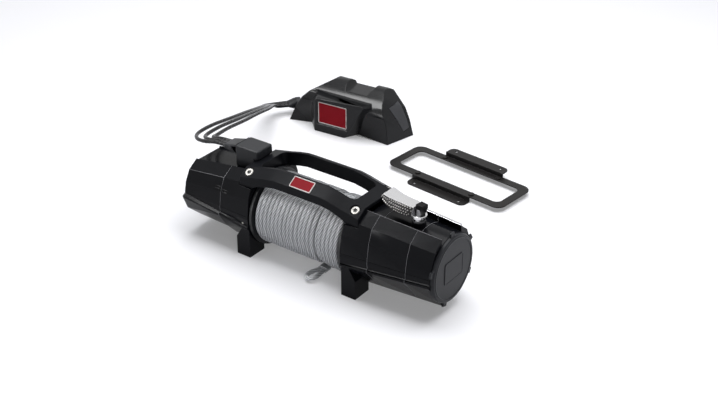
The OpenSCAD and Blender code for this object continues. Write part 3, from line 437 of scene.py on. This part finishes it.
def hexagon(reach, sides):
    """Radii of a hexagonal hole's wall, for turned()."""
    sixth = math.pi / 3
    return [reach * math.cos(sixth / 2) / math.cos((2 * math.pi * k / sides) % sixth - sixth / 2)
            for k in range(sides)]


def both_sides(places):
    """Each (point, up), given for the back, on the front and on the back."""
    return [((x, side * y, z), (lean, side * out, rise))
            for (x, y, z), (lean, out, rise) in places for side in (-1, 1)]


zinc = coat("zinc_plate", (0.34, 0.33, 0.31), 0.3, grain=400.0, depth=0.00002, metal=1.0)
case_screw = turned("case_screw", [
    (-0.002, 0.0011), (0.0002, 0.0011), (0.0002, 0.0019), (0.0011, 0.0019), (0.0015, 0.0015),
    (0.0015, 0.0009), (0.0006, hexagon(0.0008, 24)), (0.0005, 0.0001),
], sides=24)
settled("case_screws", case_screw, both_sides([
    ((-0.1256, 0.0808, 0.0762), (0, 1, 0)),
    ((0.1723, 0.0353, 0.0216), (0.058, 0.741, -0.669)),
]), zinc)

# Clip ribs: short ribs cast on the motor cover and its support, in two rows that meet at the seam,
# front and back.
rib_stretch, rib_y, rib_z, support_step = 8.0, 0.0697, 0.1315, 0.0016
clip_rib = turned("clip_rib", [
    (-0.001, 0.0012), (0.0006, 0.0011), (0.0011, 0.0006), (0.0012, 0.0002),
], sides=12)
for vertex in clip_rib.data.vertices:
    vertex.co.x *= rib_stretch
clip_spots = []
for x, z in ((-0.1955, 0.1315), (-0.1955, 0.1275), (-0.1765, 0.129), (-0.1765, 0.125)):
    y = rib_y + (support_step if x > motor_seam_x else 0.0) + (rib_z - z) * 0.5
    clip_spots.append(((x, y, z), (0, 0.92, 0.39)))
settled("clip_ribs", clip_rib, both_sides(clip_spots), housing_black)


# Drum: a steel barrel with two flanges in black, which turns in two bronze bushings, one pressed
# into each support. On it lies the plain core that stands for the rope's inner layers.
def dress(finish, *names):
    """Gives one finish to CAD solids that stay as they are."""
    for name in names:
        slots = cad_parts[name].data.materials
        slots.clear()
        slots.append(finish)


dress(coat("drum_black", (0.012, 0.0125, 0.014), 0.38, grain=600.0, edge=0.0008), "drum")
dress(coat("core_wire", (0.1, 0.1, 0.1), 0.5, metal=0.6), "rope_core")
bronze = coat("bronze", (0.45, 0.27, 0.1), 0.35, edge=0.0005, metal=1.0)
dress(bronze, "drum_bushing_motor", "drum_bushing_gear")

# Gear train: three planetary stages of hardened steel in one ring gear, all cut teeth, with turned
# carriers, and the hexagonal shaft that brings the motor's turns through the drum.
gear_steel = coat("gear_steel", (0.34, 0.34, 0.35), 0.3, grain=1500.0, depth=0.00002, edge=0.0003,
                  metal=1.0)
dress(gear_steel, "ring_gear", "carrier_1", "carrier_2", "carrier_3", "sun_1", "sun_2", "sun_3",
      *("planet_%d%s" % (stage, letter) for stage in (1, 2, 3) for letter in "abc"))
bright_steel = coat("bright_steel", (0.55, 0.56, 0.57), 0.22, grain=800.0, depth=0.00001, edge=0.0004,
                    metal=1.0)
dress(bright_steel, "drive_shaft", "tail_bearing")


# Gear end cap: a round cap pressed from aluminium and painted, with clips round its rim, seated in
# the end case. Its face carries one raised pad with rounded corners and a raised ring.
def plaque(name, centre, across, up, wide, tall, thick, corner, rim, rim_finish, face_finish):
    """A rounded plate with a raised rim; its face lies a little lower inside the rim."""
    across, up = Vector(across).normalized(), Vector(up).normalized()
    out = across.cross(up)

    def outline(inset, height):
        points = []
        reach = max(corner - inset, 0.0004)
        for sx, sy, turn in ((1, 1, 0), (-1, 1, 90), (-1, -1, 180), (1, -1, 270)):
            for step in range(7):
                angle = math.radians(turn + 15 * step)
                x = sx * (wide / 2 - corner) + reach * math.cos(angle)
                y = sy * (tall / 2 - corner) + reach * math.sin(angle)
                points.append(Vector(centre) + across * x + up * y + out * height)
        return points

    loops = [(0, -thick), (0, thick * 0.7), (thick * 0.3, thick), (rim, thick),
             (rim + thick * 0.2, thick * 0.6)]
    verts = [point for inset, height in loops for point in outline(inset, height)]
    faces = ring_faces(len(loops), len(verts) // len(loops))
    made = show(name, verts, faces)
    made.data.set_sharp_from_angle(angle=math.radians(30))
    made.data.materials.append(rim_finish)
    made.data.materials.append(face_finish)
    made.data.polygons[len(faces) - 1].material_index = 1
    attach(made, "root")


cap_black = coat("cap_black", (0.019, 0.02, 0.023), 0.34, grain=900.0, depth=0.00004, gloss=0.12)
rounded("end_cap", "gear_end_cap", cap_black, width=0.0008, steps=3)
cap_face, cap_lift = span("gear_end_cap")[1].x, 0.005
cap_axis = drum_axis + cap_lift
plaque("cap_pad", (cap_face, 0, cap_axis), (0, 1, 0), (0, 0, 1), wide=0.062, tall=0.046, thick=0.0012,
       corner=0.006, rim=0.0022, rim_finish=cap_black, face_finish=cap_black)
ring_profile = [(-0.0002, 0.0592), (0.0006, 0.0596), (0.0009, 0.0604), (0.0009, 0.0616),
                (0.0006, 0.0624), (-0.0002, 0.0628)]
ring_sides = 120
verts = []
for out, reach in ring_profile:
    for k in range(ring_sides):
        angle = 2 * math.pi * k / ring_sides
        verts.append((cap_face + out, reach * math.cos(angle), cap_axis + reach * math.sin(angle)))
cap_ring = show("cap_ring", verts, ring_faces(len(ring_profile), ring_sides, closed=True))
cap_ring.data.materials.append(cap_black)
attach(cap_ring, "root")


# Motor: a painted steel can with turned end bells, wound poles and armature in enamelled copper, a
# copper commutator, and carbon brushes in a moulded ring.
def copper_wire():
    """Enamelled copper wire in close turns, with painted shade between them."""
    material, start = new_finish("copper_wire")
    place = start.node("TexCoord", out="Object")
    turns = [start.node("SeparateXYZ", {}, {0: place}, axis) * 900.0 for axis in (1, 2)]
    wires = turns[0] + turns[1]
    slow = start.node("TexNoise", {}, {"Vector": place, "Scale": 40.0, "Detail": 3.0})
    # painted shade: the colour darkens between the turns of wire
    tone_and_painted_light = (wires.wave() * 0.7 + slow * 0.5).between(0.2, 0.9)
    return surface(material, {
        "Base Color": tone_and_painted_light.tint((0.16, 0.05, 0.02), (0.62, 0.24, 0.1)),
        "Metallic": 0.8,
        "Roughness": 0.28 + slow * 0.2,
        "Normal": start.node("Bump", {}, {"Height": wires.wave(), "Distance": 0.0002}),
    })


can_steel = coat("can_steel", (0.12, 0.12, 0.13), 0.45, grain=500.0, edge=0.0006, metal=0.7)
dress(can_steel, "motor_can", "front_bell", "rear_bell")
dress(copper_wire(), "field_poles", "armature_windings", "commutator")
dress(coat("carbon", (0.03, 0.03, 0.03), 0.6, grain=2500.0), "brushes")
moulded_brown = coat("moulded_brown", (0.06, 0.04, 0.03), 0.5)
dress(moulded_brown, "brush_ring")
dress(bright_steel, "front_bearing", "rear_bearing", "armature_core")

# Rope on the drum: six-strand rope of galvanised steel wire, wound in close turns over the layers
# below it, which are a plain core. One turn lies lower than the rest, and no two lie quite alike.
rope_width, rope_lay, rope_sides = 0.009, 0.06, 36
strands, strand_depth, wires_round = 6, 0.2, 42.0


def wire_rope():
    """Zinc-coated strands and fine wires along the rope, with painted shade in the valleys between them.
    """
    material, start = new_finish("wire_rope")
    uv_map = start.node("TexCoord", out="UV")
    round_it = start.node("SeparateXYZ", {}, {0: uv_map}, 0)
    along = start.node("SeparateXYZ", {}, {0: uv_map}, 1)
    place = start.node("TexCoord", out="Object")
    slow = start.node("TexNoise", {}, {"Vector": place, "Scale": 60.0, "Detail": 3.0})
    crest = start.sum("ABSOLUTE", start.sum("SINE", round_it * (math.pi * strands)))
    wires = (round_it * wires_round + along * (wires_round / rope_lay)).wave()
    # painted shade: the colour darkens in the valleys between strands and between wires
    light = crest.between(0.05, 0.75) * 0.75 + wires * 0.17 + slow * 0.2
    return surface(material, {
        "Base Color": light.tint((0.014, 0.015, 0.017), (0.58, 0.59, 0.61)),
        "Metallic": 0.4,
        "Roughness": 0.34 + slow * 0.2,
        "Normal": start.node("Bump", {}, {"Height": wires + crest, "Distance": 0.00018}),
    })


rope_finish = wire_rope()


def laid_rope(name, line, across=(0, 0, 1)):
    """The rope along a line, with its strands laid round it."""
    rope = swept(name, line, rope_width / 2, rope_sides, across, 1 / rope_lay, strands, strand_depth)
    rope.data.materials.append(rope_finish)
    return rope


wound_turns, turn_rings = 21, 100
wound_r = span("rope_winding")[1].z - drum_axis - rope_width / 2
wound_half = span("rope_core")[1].x - rope_width / 2
recess, recess_at, recess_wide = 0.0045, 0.73, 0.035
unevenness, even_from, drift = 0.0006, 0.97, 0.0005
wound_line = []
for i in range(wound_turns * turn_rings + 1):
    t = i / (wound_turns * turn_rings)
    angle = math.radians(-90 - 360 * wound_turns * t)
    slack = math.sin(math.pi * t)
    uneven = math.sin(61 * t + 1.3) * math.sin(23 * t) * slack
    dip = recess * math.exp(-(((t - recess_at) / recess_wide) ** 2))
    reach = wound_r - dip - unevenness * (1 + uneven) * (t < even_from)
    x = -wound_half + 2 * wound_half * t + drift * math.sin(37 * t + 0.7) * slack
    wound_line.append((x, reach * math.cos(angle), drum_axis + reach * math.sin(angle)))
first, last = Vector(wound_line[0]), Vector(wound_line[-1])
wound_line.insert(0, first - rope_width * (Vector(wound_line[1]) - first).normalized())
wound_line.append(last + rope_width * (last - Vector(wound_line[-2])).normalized())
wound_rope = laid_rope("wound_rope", wound_line, across=(1, 0, 0))
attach(wound_rope, "drum")
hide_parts("rope_winding")


# Rope's free end: the same rope comes out under the drum, lies on the floor and is turned back on
# itself as a small eye, closed by a pressed aluminium sleeve.
def smooth(points, steps):
    """The route's points with steps between each two, on a smooth curve."""
    p = [Vector(q) for q in points]
    out = []
    for i in range(len(p) - 1):
        a, b, c, d = p[max(i - 1, 0)], p[i], p[i + 1], p[min(i + 2, len(p) - 1)]
        for j in range(steps):
            t = j / steps
            bend = 1.5 * (b - c) + (d - a) / 2
            out.append(b + t * ((c - a) / 2 + t * (a - 2.5 * b + 2 * c - d / 2 + t * bend)))
    return out + [p[-1]]


tail_route = [
    (0.0988, 0.002, 0.0056), (0.0976, -0.006, 0.0056), (0.0935, -0.013, 0.006), (0.086, -0.0175, 0.0065),
    (0.077, -0.018, 0.0066), (0.068, -0.016, 0.0064), (0.06, -0.0135, 0.0062), (0.051, -0.013, 0.0064),
    (0.043, -0.0155, 0.0072), (0.0388, -0.0205, 0.0084), (0.038, -0.0256, 0.009),
]
eye_route = [
    (0.0335, -0.0404, 0.009), (0.033, -0.044, 0.009), (0.0295, -0.051, 0.009), (0.0265, -0.06, 0.009),
    (0.0255, -0.068, 0.009), (0.0275, -0.076, 0.009), (0.033, -0.081, 0.009), (0.0395, -0.08, 0.009),
    (0.0435, -0.073, 0.009), (0.0445, -0.064, 0.009), (0.0435, -0.053, 0.009), (0.0426, -0.045, 0.009),
    (0.0425, -0.0404, 0.009),
]
tail_line = smooth(tail_route + eye_route, steps=5)
rope_end = laid_rope("rope_end", tail_line)
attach(rope_end, "root")
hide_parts("rope_tail")
line_length(tail_line)
dress(coat("sleeve_metal", (0.4, 0.41, 0.42), 0.4, edge=0.0008, metal=0.8), "rope_sleeve")

# Tie plate: a die-cast aluminium arch with a hand opening, which ties both drum supports together
# and is used to lift the winch. Its front carries a small red plaque with a light rim.
tie_black = coat("tie_black", (0.0058, 0.0062, 0.0078), 0.34, grain=1300.0, depth=0.00003, gloss=0.06)
rounded("tie_arch", "tie_plate", tie_black, width=0.0013, steps=3, sharp=12.0)
plaque_rim = coat("plaque_rim", (0.72, 0.68, 0.66), 0.35, grain=500.0, depth=0.00001)
plaque_red = coat("plaque_red", (0.25, 0.006, 0.013), 0.4, grain=1200.0, depth=0.00002, gloss=0.04)
plaque("tie_plaque", (0.005, -0.0551, 0.19205), (1, 0, 0), (0, 0.844, 0.537), wide=0.0495, tall=0.024,
       thick=0.0012, corner=0.0025, rim=0.0014, rim_finish=plaque_rim, face_finish=plaque_red)

# Tie plate screws: four zinc-plated steel screws with socket heads, sunk in counterbores in the tie
# plate's sloping sides and threaded into the drum supports.
screw_sides = 48
tie_bolt_x, tie_bolt_y, tie_side_z, tie_side_out = 0.127, 0.054, 0.17786, (0, 0.5369, 0.8437)
tie_screw_spots = both_sides([
    ((x, tie_bolt_y, tie_side_z), tie_side_out) for x in (-tie_bolt_x, tie_bolt_x)
])
tie_screw = turned("tie_screw", [
    (-0.034, 0.0034), (-0.0332, 0.004), (-0.0043, 0.004), (-0.0043, 0.0084), (-0.0041, 0.0086),
    (-0.0012, 0.0086), (-0.0005, 0.0081), (-0.0002, 0.0074), (-0.0002, 0.0046),
    (-0.0007, hexagon(0.0041, screw_sides)), (-0.0036, hexagon(0.0038, screw_sides)), (-0.004, 0.0004),
], sides=screw_sides)
screw_zinc = coat("screw_zinc", (0.2, 0.195, 0.185), 0.45, grain=300.0, depth=0.00004, metal=1.0)
tie_screws = settled("tie_screws", tie_screw, tie_screw_spots, screw_zinc)
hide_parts("tie_plate_screws")

# Screw sockets: the floor of each tie plate screw's hexagonal hole, pressed into the steel head. Its
# dark colour is painted shade, for the shadow deep in the hole.
socket_painted_shade = coat("socket_painted_shade", (0.008, 0.008, 0.009), 0.5)
socket_floor = turned("socket_floor", [
    (-0.0037, hexagon(0.0036, 24)), (-0.0022, hexagon(0.00385, 24)), (-0.0024, 0.0024), (-0.0034, 0.0003),
], sides=24)
settled("tie_screw_sockets", socket_floor, tie_screw_spots, socket_painted_shade)

# Mounting nuts: four square steel nuts, zinc plated, slid into the slots over the foot holes, where
# they take the bolts that come up through the mounting plate.
dress(coat("nut_zinc", (0.5, 0.5, 0.5), 0.4, edge=0.0008, metal=1.0), "mounting_nuts")

# Clutch lever: die-cast zinc, chromed, with a dark grey flank at the front where fingers pull it.
# Its round hub is fixed on a steel shaft, which turns in the gear case's boss.
chrome = coat("lever_chrome", (0.62, 0.62, 0.63), 0.16, grain=500.0, depth=0.000008, patch=0.06,
              metal=1.0)
knurl_grey = coat("knurl_grey", (0.03, 0.029, 0.029), 0.5, grain=700.0, gloss=0.1)
lever_top, belly_out, belly_up = 0.013, 0.0022, 0.001
toe_in, toe_up, heel, lean = 0.004, 0.0015, 0.003, 0.001
mark_low, mark_high = span("lever_mark")
lever_at = (mark_low + mark_high) / 2
lever_at.z = span("clutch_lever")[1].z - lever_top
# along the lever from its tip: place, front of the top, front of the foot, back, height of the foot
lever_stations = [
    (-0.080, -0.001, -0.004, 0.033, 0.0085), (-0.075, -0.003, -0.010, 0.0335, 0.004),
    (-0.062, -0.006, -0.0155, 0.028, -0.0005), (-0.047, -0.008, -0.0185, 0.0225, -0.0035),
    (-0.030, -0.0095, -0.0195, 0.0195, -0.005), (-0.014, -0.011, -0.019, 0.018, -0.005),
    (-0.006, -0.0112, -0.0165, 0.0145, -0.004),
]
lever_rings = []
for x, front, foot_front, back, foot in lever_stations:
    belly = ((front + foot_front) / 2 - belly_out, (lever_top + foot) / 2 + belly_up)
    outline = [
        (front, lever_top), belly, (foot_front, foot + toe_up), (foot_front + toe_in, foot),
        (back - heel, foot), (back, foot + heel), (back - lean, lever_top),
    ]
    lever_rings.append([Vector((x, y, z)) for y, z in outline])
count = len(lever_rings[0])
verts = [lever_at + point for ring in lever_rings for point in ring]
lever = show("lever_casting", verts, ring_faces(len(lever_rings), count))
face_out(lever)
lever.data.set_sharp_from_angle(angle=math.radians(30))
lever.data.materials.append(chrome)
lever.data.materials.append(knurl_grey)
for index in range((len(lever_rings) - 1) * count):
    lever.data.polygons[index].material_index = 1 if index % count < 2 else 0
round_edges(lever, width=0.0007, steps=3)
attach(lever, "lever")
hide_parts("clutch_lever")
hub = turned("lever_hub", [
    (-0.0135, 0.0105), (-0.013, 0.012), (-0.0095, 0.012), (-0.009, 0.0135), (-0.0075, 0.0148),
    (-0.0035, 0.0148), (-0.0026, 0.0142), (-0.0022, 0.013),
], sides=64)
hub.data.transform(Matrix.Translation(lever_at))
hub.data.materials.append(chrome)
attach(hub, "lever")
dress(coat("shaft_steel", (0.2, 0.2, 0.21), 0.35, edge=0.0006, metal=1.0), "lever_shaft")

# Knurl: rows of small bright metal points on the lever's front flank, cast with it for grip.
knurl_gap = 0.0042
knurl_bright = coat("knurl_bright", (0.42, 0.41, 0.4), 0.3, grain=700.0, metal=1.0)
knurl_spots = []
for ring, following in zip(lever_rings, lever_rings[1:]):
    for upper, lower in ((0, 1), (1, 2)):
        a, b, c, d = ring[upper], following[upper], ring[lower], following[lower]
        outward = (b - a).cross(c - a).normalized()
        outward = outward if outward.y < 0 else -outward
        columns = max(int((b - a).length / knurl_gap), 1)
        down = max(int(((c - a).length + (d - b).length) / 2 / knurl_gap), 1)
        for i in range(columns):
            for row in range(down):
                across = (i + 0.25 + 0.5 * (row % 2)) / columns
                deep = (row + 0.5) / down
                on_flank = a.lerp(b, across).lerp(c.lerp(d, across), deep)
                knurl_spots.append((lever_at + on_flank, outward))
knurl = turned("knurl", [(-0.0004, 0.0017), (0.0001, 0.0015), (0.0012, 0.0003)], sides=4)
settled("lever_knurl", knurl, knurl_spots, knurl_bright, body="lever")

# Pivot mark: a dark square block with a hollow top, moulded in plastic and pressed on askew over the
# lever's pivot, so that it shows which way the lever stands.
mark_off, mark_turn = Vector((0.0036, 0.0026, 0.0112)), math.radians(36)
mark = turned("pivot_mark", [
    (-0.0138, 0.0065), (-0.005, 0.0096), (-0.001, 0.0112), (0.0056, 0.0112), (0.0062, 0.0106),
    (0.0062, 0.0094), (0.0058, 0.009),
], sides=4)
mark.data.transform(Matrix.Translation(lever_at + mark_off) @ Matrix.Rotation(mark_turn, 4, "Z"))
mark.data.materials.append(coat("mark_dark", (0.012, 0.012, 0.013), 0.3, gloss=0.04))
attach(mark, "lever")
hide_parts("lever_mark")

# Terminal studs: three threaded brass studs screwed into the motor, which take the leads' lugs
# under the boot.
stud_brass = coat("stud_brass", (0.55, 0.36, 0.12), 0.3, grain=300.0, depth=0.00001, metal=1.0)
dress(stud_brass, "terminal_studs")

# Terminal boot: a moulded rubber hood over the three studs, with a flat snout that tapers towards
# the leads as their strain relief. It is pushed on and held by its own grip.
boot_rubber = coat("boot_rubber", (0.016, 0.017, 0.02), 0.42, grain=700.0, depth=0.00008, gloss=0.2)
rounded("boot_hood", "terminal_boot", boot_rubber, width=0.0034, steps=4, sharp=35.0)


# Motor leads: three stranded copper leads in glossy black rubber, with their lugs bolted to the
# motor's studs. They leave the terminal boot side by side, spread as they bend down, and go into
# the control pack's grommet.
def lead_rubber():
    """Glossy cable rubber with faint ripples along it and a little dust."""
    material, start = new_finish("lead_rubber")
    uv = start.node("SeparateXYZ", {}, {0: start.node("TexCoord", out="UV")}, 1)
    place = start.node("TexCoord", out="Object")
    dust = start.node("TexNoise", {}, {"Vector": place, "Scale": 260.0, "Detail": 4.0})
    slow = start.node("TexNoise", {}, {"Vector": place, "Scale": 22.0, "Detail": 2.0})
    ripple = (uv * 160.0 + slow * 3.0).wave()
    bump = start.node("Bump", {}, {"Height": ripple * 0.4 + dust * 0.3, "Distance": 0.00006})
    return surface(material, {
        "Base Color": dust.between(0.35, 0.75).tint((0.0055, 0.0055, 0.0065), (0.013, 0.0135, 0.0155)),
        "Roughness": 0.2 + dust * 0.14,
        "Normal": bump,
        "Specular IOR Level": 0.25,
    })


lead_route = [
    (-0.22805, 0.004, 0.186), (-0.256, 0.004, 0.184), (-0.281, 0.005, 0.178), (-0.304, 0.017, 0.171),
    (-0.318, 0.039, 0.166), (-0.331, 0.092, 0.158), (-0.351, 0.17, 0.139), (-0.384, 0.254, 0.112),
    (-0.425, 0.344, 0.078), (-0.462, 0.404, 0.051), (-0.477, 0.431, 0.038), (-0.48, 0.453, 0.029),
    (-0.470117, 0.474957, 0.026), (-0.465168, 0.480855, 0.026),
]
lead_spread = [1, 1, 1.3, 1.8, 2.1, 2, 1.8, 1.5, 1.3, 1.1, 1, 1, 1, 1]
lead_gap, lead_width, lead_sides = 0.0095, 0.008, 20
lead_finish = lead_rubber()
for letter, shift in zip("abc", (-1, 0, 1)):
    route = []
    for i, point in enumerate(lead_route):
        before, after = lead_route[max(i - 1, 0)], lead_route[min(i + 1, len(lead_route) - 1)]
        way = Vector(after) - Vector(before)
        beside = Vector((way.y, -way.x, 0)).normalized()
        route.append(Vector(point) + shift * lead_gap * lead_spread[i] * beside)
    route = smooth(route, steps=8)
    lead = swept("motor_lead_" + letter, route, lead_width / 2, lead_sides)
    lead.data.materials.append(lead_finish)
    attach(lead, "root")
    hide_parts("lead_" + letter)
    line_length(route)

# Control pack: a plastic cover over the switch gear, on a flat base. The shell is one satin black
# moulding with a housing in front for a red plaque, and grained grey panels let into its ends.
pack_black = coat("pack_black", (0.006, 0.0063, 0.0074), 0.24, grain=1000.0, depth=0.00003, gloss=0.2)
panel_grey = coat("panel_grey", (0.035, 0.036, 0.04), 0.5, grain=420.0, depth=0.00025, patch=0.35)
rounded("pack_shell", "pack_cover", pack_black, width=0.0016, steps=3, sharp=22.0)
dress(pack_black, "pack_base")
dress(panel_grey, "pack_end_panels")
dress(moulded_brown, "pack_contactor")
pack_at, pack_turn = Vector((-0.311, 0.509, 0.0)), math.radians(5.1)
pack_along = Vector((math.cos(pack_turn), math.sin(pack_turn), 0))
pack_inward = Vector((-math.sin(pack_turn), math.cos(pack_turn), 0))
pack_wide, pack_deep, pack_tall = 0.322, 0.078, span("pack_cover")[1].z
plaque_out = 0.0155


def in_pack(x, y, z):
    """A place given in the pack's own directions, from the middle of its base."""
    return pack_at + pack_along * x + pack_inward * y + Vector((0, 0, z))


plaque("pack_plaque", in_pack(-0.0125 * pack_wide, -pack_deep / 2 - plaque_out, 0.435 * pack_tall),
       pack_along, (0, 0, 1), wide=0.0775, tall=0.0535, thick=0.0012, corner=0.003, rim=0.0018,
       rim_finish=plaque_rim, face_finish=plaque_red)

# Grommet: a soft rubber collar in the pack's end, ribbed and drawn out to an oval round the leads.
# It is pushed through the cover's wall and stays by its own spring.
grommet_turn, grommet_sides = math.radians(50), 40
lead_height, mouth, collar, rib_pitch, ribs = 0.026, 0.02, 0.0185, 0.0035, 4
oval_wide, oval_tall, more_wide, more_tall = 0.0142, 0.0068, 0.0004, 0.0078
way = Vector((math.cos(grommet_turn), math.sin(grommet_turn), 0))
beside = Vector((-way.y, way.x, 0))
grommet_end = in_pack(-0.44 * pack_wide, 0, lead_height) - way * mouth
profile = [(0.0, 0.9), (0.0004, 0.96), (0.003, 0.98)]
for rib in range(ribs):
    at = 0.004 + rib_pitch * rib
    profile += [(at, 1.0), (at + 0.0018, 1.0), (at + 0.0022, 0.9), (at + 0.0031, 0.9)]
profile += [(collar, 1.0), (0.03, 1.0)]
verts = []
for along, swell in profile:
    taper = min(along / collar, 1.0)
    wide, tall = (oval_wide + more_wide * taper) * swell, (oval_tall + more_tall * taper) * swell
    for k in range(grommet_sides):
        angle = 2 * math.pi * k / grommet_sides
        off = beside * wide * math.cos(angle) + Vector((0, 0, tall * math.sin(angle)))
        verts.append(grommet_end + way * along + off)
grommet = show("lead_grommet", verts, ring_faces(len(profile), grommet_sides))
grommet.data.set_sharp_from_angle(angle=math.radians(40))
grommet.data.materials.append(boot_rubber)
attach(grommet, "root")
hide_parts("pack_grommet")

# Mounting frame: pressed and bent steel plate in black powder coat, with four small screws in its
# corners. It lies apart from the winch, with its flanges down.
frame_black = coat("frame_black", (0.0085, 0.0076, 0.0075), 0.36, grain=900.0, depth=0.00006, gloss=0.15)
rounded("bracket", "mounting_frame", frame_black, width=0.0006, steps=2)
dress(frame_black, "frame_screws")


# Floor: a sweep of matt white paper. It glows a little where the camera or a mirror sees it, so it
# runs out into the white behind, and it keeps the winch's shadow.
def looked_at(start):
    """1 for what the camera sees, straight or in a mirror, and 0 for what only gives light."""
    kinds = ("Camera", "Glossy", "Transmission")
    seen_by = [start.node("LightPath", out="Is " + kind + " Ray") for kind in kinds]
    return (seen_by[0] + seen_by[1] + seen_by[2]).between(0.0, 1.0)


floor_half = 5
floor = show("floor", [(-floor_half, -floor_half, 0), (floor_half, -floor_half, 0),
                       (floor_half, floor_half, 0), (-floor_half, floor_half, 0)], [(0, 1, 2, 3)])
material, start = new_finish("floor_white")
seen = looked_at(start)
matt = start.node("BsdfDiffuse", {}, {"Color": (0.9, 0.9, 0.93, 1)})
glow = start.node("Emission", {}, {"Color": (1, 1, 1, 1), "Strength": 1.4})
mixed = start.node("MixShader", {}, {0: seen * 0.16, 1: matt, 2: glow})
start.node("OutputMaterial", {}, {"Surface": mixed})
floor.data.materials.append(material)


# Lamps: a large soft box overhead and behind gives the light and the soft shadow, and a small one
# fills from the right. Two panels at the front left are there only for the paint to mirror.
def soft_light(name, place, target, size, power, wide=True):
    """A soft box at place, turned to target. One that isn't wide shows only in reflections."""
    lamp = bpy.data.lights.new(name, "AREA")
    lamp.shape, lamp.size, lamp.size_y, lamp.energy = "RECTANGLE", size[0], size[1], power
    made = bpy.data.objects.new(name, lamp)
    made.location = place
    made.rotation_euler = (Vector(place) - Vector(target)).to_track_quat("Z", "Y").to_euler()
    made.visible_diffuse = wide
    bpy.context.scene.collection.objects.link(made)


soft_light("top_light", (0.0, 0.45, 2.4), target=(0, 0.1, 0), size=(2.6, 1.9), power=72)
soft_light("right_light", (1.6, -1.6, 0.9), target=(0.1, 0, 0.1), size=(0.5, 1.2), power=6)
soft_light("front_panel", (-1.05, -0.95, 1.7), target=(0, 0.1, 0.1), size=(0.8, 1.0), power=60, wide=False)
soft_light("low_strip", (-1.05, -1.75, 0.32), target=(0, 0, 0.1), size=(0.22, 0.3), power=5, wide=False)

# Room: white wherever the camera or a mirror looks; for the rest, a pale light that comes mostly
# from above and behind.
brightest_way = (-0.25, 0.5, 0.83)
world = bpy.data.worlds.new("room")
bpy.context.scene.world = world
world.use_nodes = True
world.node_tree.nodes.clear()
start = Value(world.node_tree)
seen = looked_at(start)
facing = start.node("TexCoord", out="Generated")
toward = start.node("VectorMath", {"operation": "DOT_PRODUCT"}, {0: facing, 1: brightest_way}, "Value")
even = start.node("Background", {}, {
    "Color": (0.93, 0.95, 1.0, 1),
    "Strength": toward.between(0.45, 0.98, 0.05, 0.8),
})
white = start.node("Background", {}, {"Color": (1, 1, 1, 1), "Strength": 1.0})
start.node("OutputWorld", {}, {"Surface": start.node("MixShader", {}, {0: seen, 1: even, 2: white})})
bpy.context.scene.view_settings.view_transform = "Standard"
